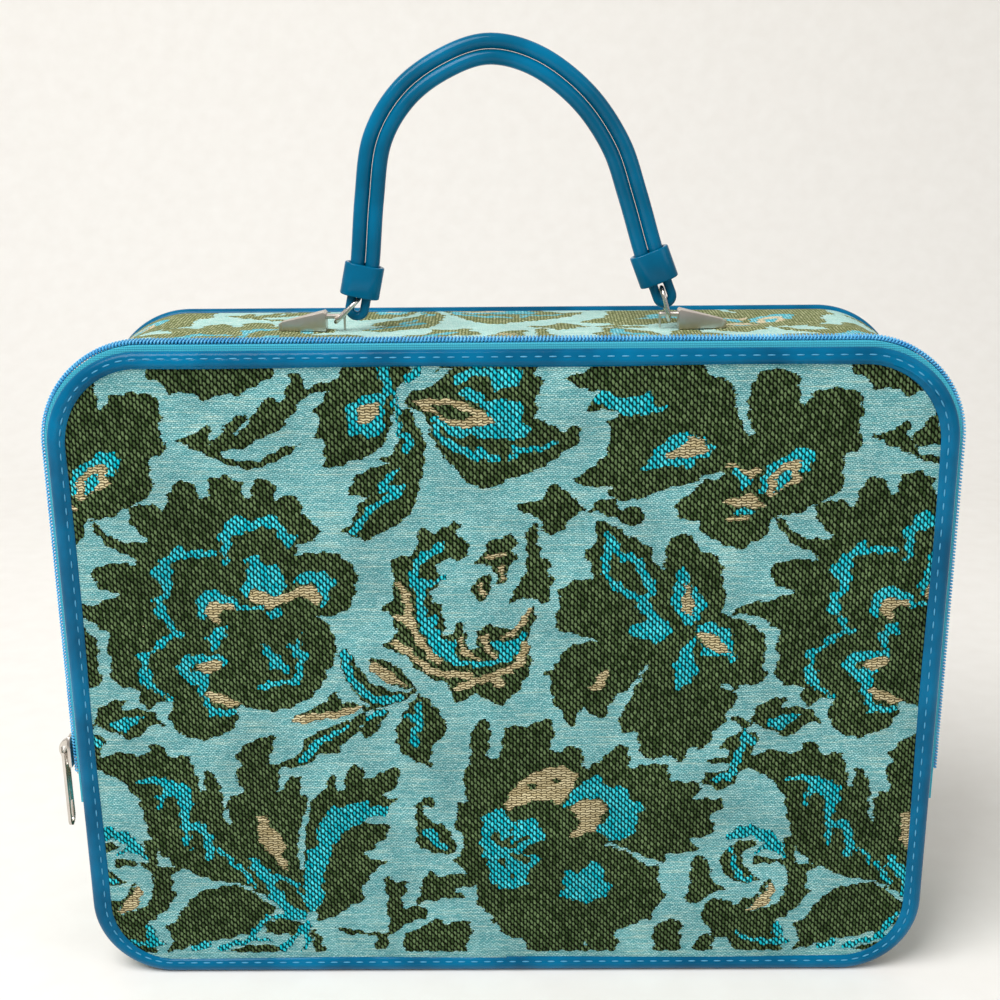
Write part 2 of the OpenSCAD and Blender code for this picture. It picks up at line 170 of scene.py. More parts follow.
def new_material(name, **constants):
    finish = bpy.data.materials.new(name)
    finish.use_nodes = True
    shader = finish.node_tree.nodes["Principled BSDF"]
    for socket, value in constants.items():
        shader.inputs[socket.replace("_", " ")].default_value = value
    return finish, finish.node_tree, shader


def object_place(tree):
    return add_node(tree, "ShaderNodeTexCoord").outputs["Object"]


def calc(tree, operation, *values):
    return add_node(tree, "ShaderNodeMath", dict(enumerate(values)), operation=operation).outputs[0]


def vector_calc(tree, operation, *values):
    return add_node(tree, "ShaderNodeVectorMath", dict(enumerate(values)), operation=operation).outputs[0]


def axes_of(tree, vector):
    return add_node(tree, "ShaderNodeSeparateXYZ", {0: vector}).outputs


def ranged(tree, *values, **settings):
    """A value moved to another range: the value, from low and high, and to low and high if not 0 and 1."""
    return add_node(tree, "ShaderNodeMapRange", dict(enumerate(values)), **settings).outputs[0]


def noise(tree, place, scale, detail):
    return add_node(tree, "ShaderNodeTexNoise", {"Vector": place, "Scale": scale, "Detail": detail}).outputs


def blended(tree, share, first, second):
    """One colour mixed with another by a share from 0 to 1."""
    return add_node(tree, "ShaderNodeMix", {0: share, 6: first, 7: second}, data_type="RGBA").outputs[2]


def chosen(tree, share, first, second):
    """One number mixed with another by a share from 0 to 1."""
    return add_node(tree, "ShaderNodeMix", {0: share, 2: first, 3: second}).outputs[0]


def link_look(tree, shader, tint, height, strength, depth_mm):
    """Links a surface's colour, and its fine relief as bump, to the shader."""
    relief = {"Height": height, "Strength": strength, "Distance": depth_mm * MM}
    tree.links.new(tint, shader.inputs["Base Color"])
    tree.links.new(add_node(tree, "ShaderNodeBump", relief).outputs[0], shader.inputs["Normal"])


# %% [markdown]
# Jacquard tapestry. Green and turquoise weft float over the ground in short leaning grains that sit like
# bricks. An image could show them, but a pattern worked out in nodes stays sharp from close by, so each
# grain is an oval in its own cell, with a chance number of its own.

# %% Grains of the tapestry
WARP, PICK = 1.44, 1.45
GROUND, GREEN, TURQUOISE, BEIGE = range(4)
LEAN, GRAIN_RIM, GRAIN_TOP = 0.34, 0.26, 0.03


def grains(tree, x, y):
    """How high a place is on its grain, and a chance number for each grain."""
    across = calc(tree, "DIVIDE", x, WARP)
    column = calc(tree, "FLOOR", across)
    stagger = calc(tree, "MULTIPLY", calc(tree, "MODULO", column, 2.0), 0.5)
    along = calc(tree, "MULTIPLY_ADD", y, 1 / (2 * PICK), stagger)
    row = calc(tree, "FLOOR", along)
    v = calc(tree, "SUBTRACT", calc(tree, "SUBTRACT", along, row), 0.5)
    u = calc(tree, "SUBTRACT", calc(tree, "SUBTRACT", across, column), 0.5)
    leaning = calc(tree, "MULTIPLY_ADD", v, LEAN, u)
    oval = calc(tree, "MULTIPLY_ADD", leaning, leaning, calc(tree, "MULTIPLY", v, v))
    high = ranged(tree, oval, GRAIN_RIM, GRAIN_TOP, interpolation_type="SMOOTHSTEP")
    cell = add_node(tree, "ShaderNodeCombineXYZ", {"X": column, "Y": row}).outputs[0]
    chance = add_node(tree, "ShaderNodeTexWhiteNoise", {"Vector": cell}, noise_dimensions="2D")
    return high, chance.outputs["Value"]


print("a grain is", WARP, "by", 2 * PICK, "mm")

# %% [markdown]
# The aqua ground and the beige lights are longer floats that lie level and ripple over the warp, and the
# Brick texture draws those. The weave reads its own attribute in millimetres, so it follows the cloth
# round corners. A second attribute says how much of each colour of thread lies at a place: a motif ends
# where that share passes one half, moved in and out from grain to grain and from pick to pick. Here and
# there a beige pick shows through the ground, and along the top of the gusset, where the light falls on
# it, the yarns turn to paler shades there as painted light.

# %% Tapestry material
WOBBLE, RIPPLE = 1.1, 0.16
# length, row and gap of the level floats in mm
PLAIN_FLOATS = (WARP, 0.56 * PICK, 0.26)
BEIGE_FLOATS = (3 * WARP, 0.8 * PICK, 0.46)
# how finely picks and weft vary along and across the rows, and where stray picks show
PICK_SCALE, WEFT_SCALE = (0.3, 1.3, 0), (0.06, 1.1, 0)
STRAY = (0.5, 0.8, 0, 0.35)
# factor and offset from chance to the share at which a motif ends
BY_PICK, BY_GRAIN, BY_BOTH = (1.5, -0.25), (0.56, 0.16), (0.6, -0.07)
PLAIN_HEIGHT, GRAIN_HEIGHT, LIGHT_HEIGHT = 0.6, 1.8, 1.0
# heights in m between which the top of the gusset turns to its painted light
PAINTED_LIGHT_HEIGHTS = (0.22, 0.282)


def level_floats(tree, place, length, row, gap, low, high, dark):
    sockets = {"Vector": place, "Scale": 1.0, "Mortar Size": gap, "Mortar Smooth": 1.0}
    sockets |= {"Brick Width": length, "Row Height": row, "Color1": low, "Color2": high, "Mortar": dark}
    return add_node(tree, "ShaderNodeTexBrick", sockets).outputs


def tapestry_material(name, yarns, lit_yarns, contrast):
    """Cloth from four yarns, each two thread colours and the dark between, and paler shades of them painted
    as light along the top.
    """
    finish, tree, shader = new_material(name, Roughness=0.95, Specular_IOR_Level=0.06)
    # painted light: towards the top the yarns turn to their paler shades, where the light falls
    painted_light = ranged(tree, axes_of(tree, object_place(tree))["Z"], *PAINTED_LIGHT_HEIGHTS)
    green, turquoise, ground, beige = (
        [blended(tree, painted_light, colour(new), colour(lit_shade)) for new, lit_shade in zip(*shades)]
        for shades in zip(yarns, lit_yarns)
    )
    weave = add_node(tree, "ShaderNodeAttribute", attribute_name="weave").outputs["Vector"]
    share = add_node(tree, "ShaderNodeAttribute", attribute_name="threads").outputs["Vector"]
    wobble = vector_calc(tree, "SUBTRACT", noise(tree, weave, 0.5, 2.0)["Color"], (0.5, 0.5, 0.5))
    bent = axes_of(tree, vector_calc(tree, "MULTIPLY_ADD", wobble, (WOBBLE, WOBBLE, 0), weave))
    x, y = bent["X"], bent["Y"]
    oval, chance = grains(tree, x, y)
    ripple = calc(tree, "SINE", calc(tree, "MULTIPLY", x, math.pi / WARP))
    rippled = {"X": x, "Y": calc(tree, "MULTIPLY_ADD", ripple, RIPPLE, y)}
    wavy = add_node(tree, "ShaderNodeCombineXYZ", rippled).outputs[0]
    plain = level_floats(tree, wavy, *PLAIN_FLOATS, *ground)
    light = level_floats(tree, wavy, *BEIGE_FLOATS, *beige)

    pick = noise(tree, vector_calc(tree, "MULTIPLY", weave, PICK_SCALE), 1.0, 1.0)["Fac"]
    weft = noise(tree, vector_calc(tree, "MULTIPLY", weave, WEFT_SCALE), 1.0, 2.0)["Fac"]
    by_pick = calc(tree, "MULTIPLY_ADD", pick, *BY_PICK)
    by_grain = calc(tree, "MULTIPLY_ADD", chance, *BY_GRAIN)
    by_both = calc(tree, "MULTIPLY_ADD", calc(tree, "ADD", by_pick, by_grain), *BY_BOTH)

    floats = axes_of(tree, share)
    shown = blended(tree, ranged(tree, weft, *STRAY), plain["Color"], beige[1])
    height = calc(tree, "SUBTRACT", PLAIN_HEIGHT, plain["Fac"])
    for (low, high, dark), axis, cut in ((green, "X", by_both), (turquoise, "Y", by_grain)):
        yarn = blended(tree, oval, dark, blended(tree, chance, low, high))
        here = calc(tree, "GREATER_THAN", floats[axis], cut)
        shown = blended(tree, here, shown, yarn)
        height = chosen(tree, here, height, calc(tree, "MULTIPLY", oval, GRAIN_HEIGHT))
    here = calc(tree, "GREATER_THAN", floats["Z"], by_pick)
    shown = blended(tree, here, shown, light["Color"])
    height = chosen(tree, here, height, calc(tree, "SUBTRACT", LIGHT_HEIGHT, light["Fac"]))

    patchy = calc(tree, "ADD", noise(tree, weave, 0.035, 3.0)["Fac"], weft)
    tone = ranged(tree, patchy, 0.75, 1.25, 1 - contrast, 1 + contrast)
    toned = add_node(tree, "ShaderNodeHueSaturation", {"Color": shown, "Value": tone}).outputs[0]
    link_look(tree, shader, toned, height, 0.8, 0.3)
    return finish


YARNS = (
    ("#354927", "#687f55", "#070b04"),
    ("#09bac9", "#50e2ed", "#032e36"),
    ("#74b5b8", "#abdbdb", "#3d888f"),
    ("#b5a67c", "#dccfa6", "#463a20"),
)
# paler shades of the yarns, painted light along the top of the gusset
LIT_TOP_YARNS = (
    ("#8f9668", "#bcc094", "#5f6842"),
    ("#5fc2d0", "#a9e6ee", "#4fa0ad"),
    ("#b6e2da", "#daf2ea", "#93c8c3"),
    ("#ddcfa9", "#f6eed6", "#a08f68"),
)
tapestry = tapestry_material("jacquard_tapestry", YARNS, YARNS, 0.2)
# the gusset's top is painted paler with painted light
gusset_cloth = tapestry_material("gusset_tapestry_painted_top_light", YARNS, LIT_TOP_YARNS, 0.12)
print("cloth:", tapestry.name, "and", gusset_cloth.name)

# %% [markdown]
# The other finishes. The binding and handle are glossy vinyl with a faint skin of leather grain, the
# zip is nylon on woven tape, the metal is nickel plate, polished on the zip and satin on the claws, and
# inside there is a plain woven lining on grey board. Noise gives clouds of a second shade, because no old
# surface has one even colour, and a Voronoi texture gives the grain.

# %% Vinyl, nylon, metal and board
def grained(name, base, darker, roughness, grain_mm, depth_mm, cloud_mm=30, **constants):
    """A smooth finish with clouds of a darker shade and a fine grain of the given size."""
    finish, tree, shader = new_material(name, **constants)
    place = object_place(tree)
    cloud = noise(tree, place, 1000 / cloud_mm, 4.0)["Fac"]
    tint = blended(tree, ranged(tree, cloud, 0.35, 0.65), colour(base), colour(darker))
    worn = ranged(tree, cloud, 0.3, 0.7, roughness - 0.05, roughness + 0.07)
    tree.links.new(worn, shader.inputs["Roughness"])
    grain = add_node(tree, "ShaderNodeTexVoronoi", {"Vector": place, "Scale": 1000 / grain_mm})
    link_look(tree, shader, tint, grain.outputs["Distance"], 0.35, depth_mm)
    return finish


vinyl = grained("binding_vinyl", "#006b95", "#005074", 0.16, 0.9, 0.05, Specular_IOR_Level=0.12)
handle_vinyl = grained("handle_vinyl", "#006a92", "#005474", 0.12, 1.2, 0.02, Specular_IOR_Level=0.14)
nylon = grained("zip_nylon", "#67bfea", "#3b9fd8", 0.22, 0.5, 0.02, 12)
nickel = grained("nickel_plate", "#d8d2cb", "#c0b8af", 0.24, 0.35, 0.001, 14, Metallic=1.0)
satin_nickel = grained("satin_nickel", "#d6cdc4", "#c0b6ac", 0.33, 0.35, 0.001, 14, Metallic=1.0)
thread_blue = grained("sewing_thread", "#4f9fc4", "#3f8fb6", 0.6, 0.3, 0.06, 4)
greyboard = grained("grey_board", "#b7ab94", "#a2967f", 0.9, 0.7, 0.08, 9)
smooth = (vinyl, handle_vinyl, nylon, nickel, satin_nickel, thread_blue, greyboard)
print("smooth finishes:", [finish.name for finish in smooth])


# %% Zip tape and lining
def woven(name, base, darker, pitch, roughness):
    """A plain weave drawn from crossed waves of the given pitch in mm, one for each axis."""
    finish, tree, shader = new_material(name, Roughness=roughness, Specular_IOR_Level=0.3)
    sockets = {"Vector": object_place(tree), "Scale": 1000 * math.pi / (10 * pitch)}
    sockets |= {"Distortion": 0.6, "Detail": 1.0}
    x, y, z = (
        add_node(tree, "ShaderNodeTexWave", sockets, bands_direction=axis).outputs["Fac"]
        for axis in ("X", "Y", "Z")
    )
    height = calc(tree, "ADD", calc(tree, "ADD", x, y), z)
    tint = blended(tree, ranged(tree, height, 0.6, 2.2), colour(darker), colour(base))
    link_look(tree, shader, tint, height, 0.5, 0.15)
    return finish


tape_cloth = woven("zip_tape_twill", "#55c8da", "#3dadc6", 0.9, 0.9)
lining_cloth = woven("rayon_lining", "#b3ccd5", "#93b1bd", 0.8, 0.6)
print("woven finishes:", tape_cloth.name, "and", lining_cloth.name)

# %% [markdown]
# The floral pattern is drawn as plain outlines in millimetres on the front face: dark green
# masses first, then turquoise, then beige lights, then a few cuts back to the ground. A cell of the
# weave takes the colour of the last shape that covers it, and that gives the stepped edges of woven
# cloth. The design repeats across the cloth, and every second row of it is shifted by half.

# %% Pattern outlines: green masses
REPEAT = np.array([283.5, 0.0])
HALF_DROP = np.array([141.75, 259.0])
pattern = []


def shape(kind, *outlines, width=0):
    """Adds closed outlines, or lines of the given width in mm, in one colour of thread."""
    for outline in outlines:
        corners = np.array([[float(n) for n in pair.split(",")] for pair in outline.split()])
        pattern.append((kind, corners, width))


shape(
    GREEN,
    # large flower at the top right
    "25,276 31,277 40,281 62,282 80,281 83,276 90,275 94,269 94,262 97,256 100,251 104,251 100,256 "
    "99,265 100,272 104,278 112,279 119,276 120,267 121,262 125,269 136,271 144,269 146,261 144,255 "
    "146,251 146,245 140,244 139,237 140,230 135,225 127,221 122,218 112,217 109,212 110,209 104,206 "
    "100,202 90,205 82,210 80,215 72,216 71,222 75,226 80,230 75,231 67,229 60,226 54,224 47,224 43,228 "
    "45,230 35,230 29,232 34,237 41,242 44,252 42,257 47,260 46,262 37,262 33,261 36,266 40,270 31,271",
    # edge of a flower above, and the leaf spray under it
    "-144,282 -92,282 -92,276 -97,275 -102,271 -107,269 -112,270 -119,267 -122,267 -125,271 -129,270 "
    "-135,270 -137,275 -142,276",
    "-119,247.5 -117.5,250.7 -114,254 -111,257.5 -107.5,260.7 -104.5,262 -103,260.3 -104.5,258 "
    "-107.5,255 -109,252 -108,251.5 -105,255.7 -101,260.7 -97.5,265.7 -94,269 -91.7,268 -91,264 -88,269 "
    "-86,273 -85,277.5 -82.5,279 -80,277.5 -79.6,271.5 -73,274 -64,275.7 -64,273 -71.7,271 -79,268.6 "
    "-81,267 -84,262.3 -87.5,258 -91,254.4 -96,252 -100,250.7 -103,248 -109,246.5 -115,246",
    "-134,251 -128,252 -125,252.7 -122.5,255.7 -121.7,257.3 -118.8,256 -118.8,248 -116,245.7 -113,243 "
    "-109,242 -100,241.5 -96,243.6 -91.7,246 -86.7,248.2 -81,249 -85,246.5 -90,243 -95,240.7 -99,238.6 "
    "-105,238 -110,239.8 -115,241.5 -120,244 -126,246.5 -130,249",
    # pair of bell flowers at the top, and their long leaf
    "-64,282 -65,276 -70,270 -76,263 -74,257 -77,252 -72,250 -73,246 -73,239 -67,239 -61,242 -57,242 "
    "-51,246 -47,250 -45,258 -44,268 -40,274 -36,282",
    "-40,267 -36,271 -30,275 -24,282 14,282 13.3,276.5 16.7,274 15,270 12.5,268 14.6,264 13,259 "
    "17.5,257.3 20,256 23.3,253.2 28.3,255.3 32,255.7 31.7,250.7 27.5,246.5 23.3,243 18.3,239.8 "
    "13.3,237.3 6.7,234.8 0,232.3 -4.2,229.4 -10,229.8 -14.2,232.3 -18.3,235.7 -21,239 -23.3,242.3 "
    "-26.7,247.3 -28.8,251.5 -30,256.5 -32,261 -36.7,264",
    "-35,258 -31,249 -32,240 -34,230 -37,221 -42,215 -51,210 -57,207 -62,209 -67,211 -62,215 -60,221 "
    "-59,224 -51,227 -57,226 -64,227 -61,234 -57,237 -51,239 -46,240 -52,242 -46,244 -42,250 -42,262 "
    "-38,264",
    # large scalloped flower at the left
    "-138,227 -136,231 -131,234 -126,231 -125,226 -121,226 -121,234 -114,236 -107,233 -107,226 -104,226 "
    "-102,234 -95,234 -93,230 -94,225 -97,222 -91,227 -85,227 -82,222 -84,219 -79,217 -76,211 -79,207 "
    "-85,206 -87,201 -80,202 -70,202 -65,199 -61,192 -62,186 -65,177 -71,174 -79,174 -74,170 -71,162 "
    "-71,156 -75,149 -78,142 -84,136 -90,132 -100,130 -107,131 -114,134 -115,126 -119,120 -124,119 "
    "-131,116 -140,119 -145,126 -144,131 -141,135 -147,135 -152,131 -157,134 -156,140 -165,142 -169,147 "
    "-167,154 -169,160 -166,165 -171,169 -176,174 -175,179 -170,180 -161,184 -169,186 -173,194 -169,197 "
    "-160,198 -152,197 -155,201 -162,204 -166,207 -171,214 -170,217 -163,210 -158,207 -147,207 -150,211 "
    "-155,216 -154,222 -144,224 -139,220",
    # crescent leaf in the middle, and the bits inside it
    "-37,215 -35,210 -36.7,203 -39,200.7 -46.7,199.4 -47.5,197 -46,192 -46.5,183.5 -44.5,181 -52,177.5 "
    "-53,176 -47.5,175 -46.3,170 -45,166 -49,161.7 -52,160 -47.5,158.3 -43.3,156 -40,153.3 -36.7,149 "
    "-32.5,146 -26.7,143.3 -24,141.7 -22.5,136.7 -21,132.5 -19,134 -16,136 -12.5,137.5 -10,136.7 -6,134 "
    "-2.5,132.5 0,130.8 1.7,135 6,139 9,145 11.7,150 11.7,155 10.8,159 10,164 12.5,170 13.8,174 "
    "11.7,179 10,176 6.7,171 4,167 0,167 -3.3,169 -6,170 -8.3,168.3 -11.7,166 -11.7,162.5 -11,158.3 "
    "-15,158 -16,162.5 -16.7,170 -19,171.3 -20,168.3 -24,164 -26.7,166 -24,168.3 -25,171.7 -26.7,174 "
    "-25,177.5 -29,179.5 -31,184 -26,188 -30,189 -26,191 -29,196 -24,199.4 -18.3,198.2 -14.6,200.7 "
    "-14.2,205.3 -18.3,208.2 -19.2,210.7 -17.5,214.4 -21.7,215.3 -24,213 -27,210.3 -34,212.3",
    "-14,186 -10,191 -6,192 -5,186 -8,180 -12,181",
    "-12,197 -6.7,203 -6.7,206.5 -1.7,208 4,210 6.3,206.5 4,203 5.5,197.5 2,196.5 1.5,188 -2.5,188 "
    "-3.5,193 -5,196",
    "12,215 15,212 14,207 16,200 20,197 19,191 22,189 19,186 20,180 16,179 12,182 7,181 2,179 5,186 "
    "9,192 10,200 9,209 11,214",
    "5,222 8.3,223.6 13.3,223.6 16.7,225.7 19,230 20,231.5 23.3,230.3 26.7,228 31,223 35,219.8 40,224 "
    "45,225.7 46.3,222.3 49,219.8 55,222 59,217.3 54,212.3 47.5,215.7 40,219 32.5,219.8 28.3,217.3 "
    "26.7,214 24,210.7 19,209 16.3,211.5 16,215.7 11,218",
    "16.5,147.5 20,148.5 20.5,146 18,146",
    # star flower right of the middle, and its bud
    "38,215 43,215 50,210 56,207 61,204 62,199 65,194 67,192 67,199 68,206 74,210 80,207 81,202 89,200 "
    "92,194 92,187 94,181 91,174 97,172 106,169 111,162 111,157 110,151 112,146 111,142 100,141 100,135 "
    "96,129 95,124 90,119 89,114 85,111 80,112 77,105 74,106 71,109 66,106 60,107 58,114 57,119 50,119 "
    "49,125 52,132 54,140 47.5,135.8 45,131.7 43.8,126.7 40,126.3 36,129 33.8,131.7 31.7,128.3 30,122.5 "
    "27.5,122 26,125 23.8,130 21,132.5 20,139 20,147.5 22.5,152.5 25,156.7 30,160.4 36,161.7 42,162 "
    "36,163.3 30,165 23.3,166.7 21,172.5 24,180 22,184 30,190 37,189 37,195 33,202 39,206 38,212",
    "94,173 103,179 108,180 107,172 102,174",
    # sprig left of the middle
    "-69,160 -66,158 -62,150 -56,143 -48,139 -40,139 -44,134 -54,132 -62,135 -67,143 -70,152",
    "-59,155 -52,154 -46,151 -41,145 -38,140 -46,141 -53,145 -57,150",
    "-90,129 -82,131 -75,137 -72,140 -70,134 -65,134 -60,134 -70,130 -81,129",
    "-98,104.6 -93,107.5 -89,110 -87.5,114 -86,117.5 -81,120 -76,122.5 -69,125 -63,127.5 -60,130 "
    "-59,127.5 -63,121 -67.5,116.7 -71,113 -73,109 -76.7,110 -80,110 -84,106 -88,104 -93,103",
    "-62,119 -60,126 -54,131 -49,131 -55,121 -60,116",
    "-36,139 -32.5,135 -28.3,130 -24.2,122 -26.7,118 -29,116 -32,111 -32,103 -40,106 -43,109 "
    "-46.3,112.5 -47,116.7 -46.7,123 -43,129 -39,135",
)
shape(GREEN, "-60,131 -48,134 -38,139", width=2)
shape(
    GREEN,
    # feathered leaf cluster at the lower left
    "-177,105 -174,109 -166,111 -160,109 -154,111 -154,114 -150,115 -147,110 -144,107 -140,110 -137,109 "
    "-136,104 -134,99 -134,90 -132,92 -131,102 -127,100 -124,94 -124,87 -124,77 -121,74 -122,86 -120,90 "
    "-116,90 -115,94 -118,99 -117,102 -115,105 -118,110 -115,110 -112,115 -107,117 -101,119 -100,117 "
    "-101,110 -104,105 -97,105 -99,99 -99,94 -101,89 -99,91 -94,99 -89,99 -90,92 -86,87 -89,80 -91,72 "
    "-92,62 -92,55 -88,50 -86,32 -90,29 -100,32 -109,40 -115,44 -121,46 -130,47 -140,51 -149,56 -154,62 "
    "-157,69 -159,77 -161,87 -165,94 -171,99 -177,102",
    "-90,77 -84,89 -79,92 -77,99 -74,99 -74,91 -70,92 -70,99 -65,106 -62,101 -61,97 -55,100 -46,104 "
    "-46,97 -50,92 -54,89 -46,88 -50,85 -58,80 -66,76 -52,75 -51,72 -53,68 -56,66.7 -60,61.7 -64,60 "
    "-57,57 -51.7,57 -58,52.5 -62,47 -65,42 -62,38 -70,34 -76,29 -84,26 -86,32 -84,40 -90,55",
    "-154,24 -150,26 -147,31 -140,39 -137,42 -127,44 -121,45 -114,42 -109,37 -102,32 -109,29 -111,24 "
    "-116,20 -127,17 -136,16 -147,12 -154,10 -151,17",
    "-109,25 -100,28 -91,24 -97,19 -109,20",
    "-126,11 -115,14 -105,14 -102,10 -126,10",
    "-88,24 -84,18 -82,10 -87,10",
    # large flower at the bottom
    "-18.5,100 -15,105 -15,112.5 -14.6,118 -12.5,123 -11,125.4 -7.5,125 -6,121.7 -6,119 -6.7,113 "
    "-7.5,107 -2.5,107.5 -1.7,112.5 0,121 3.3,123 6.7,121.7 11,123.3 15,125 19,126 20,123.3 22,120 "
    "21,116 19,111 23.3,110 26.7,112.5 31,112.5 34,110 34,104 36.3,101.3 41.7,106.7 46.7,111 51,113.8 "
    "53.3,111.7 54,106.7 55,102 62,104 71,104 72,96 85,95 85,90 81,87 96,87 95,82 90,79 93,72 90,69 "
    "81,67 86,62 80,60 71,60 70,56 68,51 68,45 72,39 70,36 66,32 66,27 60,25.5 55,23 50,21.5 49,19.5 "
    "50.5,16 49.5,10 10,10 9,13 7.5,16.7 0.8,18 -2.5,21.7 -5.8,25 -6.7,28.5 -10,32 -13,35 -13,42 -15,48 "
    "-18.5,52 -21,55 -23.5,57 -20.5,59 -19.5,62 -18.5,66 -19.5,71 -22,73 -22.5,76 -20.5,79 -21.5,83 "
    "-21,86 -17,86 -16.5,88 -18,94",
    # small sprigs along the bottom
    "-39,84.6 -37.5,87 -35,89 -32,88 -30,85 -31.3,83 -33.3,84 -35.8,84 -37,80.4 -33.3,77.5 -31.3,76 "
    "-26.7,74.6 -25,71.7 -23.3,67.5 -21.7,63.3 -22,61 -26.7,60 -32.5,61.3 -37.5,63.3 -39.6,65 -38.8,70 "
    "-39.6,76",
    "-54,49 -50.5,49 -51,46.7 -47.5,46 -43.8,46.3 -44.6,42.5 -46,39 -47,35 -46.3,32.5 -42.5,33 -40,35 "
    "-36,31.7 -35,30 -36.7,27.5 -40,26.7 -44,25 -48,22.5 -51,20 -53,17.5 -54,11 -59,11 -60,15 "
    "-56.7,17.5 -64,19 -72,19 -79,24 -71,22 -61,20 -54,20 -52,25 -52.5,28.3 -54,33 -52.5,38 -54,42.5",
    "-38,45 -36,49 -34,52 -32.5,51 -31.3,49 -26.7,49 -22.5,51 -18.3,50 -16,48.3 -14.6,45 -16.7,43 "
    "-20,43.3 -24,43 -22.5,41.3 -18.3,39 -18,38 -22.5,37.5 -26.7,38.3 -31,36.3 -33.3,36.7 -37.5,36 "
    "-40.4,34 -40,36.7 -38,40",
    "-46.3,10 -47,16 -45,20 -37.5,22.5 -34,26 -32.5,27 -29,27.5 -28,24 -25,24 -23.3,26.3 -16,26 "
    "-15.4,21 -16.7,16.7 -18,15 -18,10",
    # sprigs and scroll at the right
    "106,125 108.7,131.7 111,133.3 115.3,135 120.3,136 122,134.6 119.5,132.5 118,130.4 120.3,130 "
    "123.7,132 128.7,131 132,130 133.7,126.7 137,123.3 137,121.3 133,124 130.3,124 128,121.7 126.6,119 "
    "123.7,117.5 120.3,117 117,119 112,121.3 108,122.5",
    "96,126 100,126.5 104,126 106,123 104,120.5 99.5,123.3",
    "91,111 96,116 102,120 109,119 110,114 107,110 108,102 102,101 101,96 97,92 92,91 86,96 87,100 "
    "95,100 99,105 90,104 87,106 95,107 99,111",
    "99.5,63.3 103.7,66.3 108.7,66.7 112,65 109.5,63.3 106,61 104.5,58.3 105.3,55 107.4,51.7 108.7,49 "
    "113.7,47.5 112,46 108.7,44.6 105.3,45 101,46 98,49 96,53.3 94.5,56.7 95.3,60",
    "109.5,59 112,58.3 116,58.3 119.5,56.7 119.5,54.6 115.3,55 112,54 109,55",
    "123.3,66.7 126,69 129,69.6 128.7,65 128.3,61 128.7,56.7 128,55 131,54.6 134.5,54 139,55 137,51.7 "
    "134.5,50 134.5,46.7 133.7,43.3 136,40 133.7,36 132,34 128.7,31 125.3,27.5 122,26 120.3,26.7 "
    "119.5,31 120.3,33.3 123.7,38.3 125.3,43.3 126,48.3 124.5,52.5 120.3,56 120.3,57.5 123.7,56.7 "
    "123.7,62.5",
    "106,36.7 109.5,37 113,40 115.3,44 117,46.7 119,46.7 116,41.7 112,36 107,31.5 104.5,33.3",
    "88.7,34 91,36 94.5,37.5 98,36.3 102,34 105.3,35 107.4,31.3 112,30 115.3,31.7 119.5,33.3 125.3,27.5 "
    "122,26 120.3,24 121,20 125,13 126,10 104,10 102,14 98,17.5 94.5,16.5 93,20 89.5,24 88,26",
    "82.8,57.5 86,59 88,58.3 91,54 91,50 92,46 98.7,42 95.3,41 91,39.6 88.7,37.5 87,34 81.6,35 80,36.7 "
    "82.4,42.5 82,50",
    "67,10 66,21.7 69.5,25 74.5,27 78.7,25 80,21.7 78,20 78.7,16.7 79,10",
    "84,10 85,14 88,17 90.5,19 93,18.5 94,15 93.5,10",
)
print("green:", len(pattern), "shapes")

# %% [markdown]
# Turquoise lies on the green as blots and crescents, and as thin lines along the petals. A blot is a
# closed outline. A line is a route with a width, which is easier to draw than both its edges.

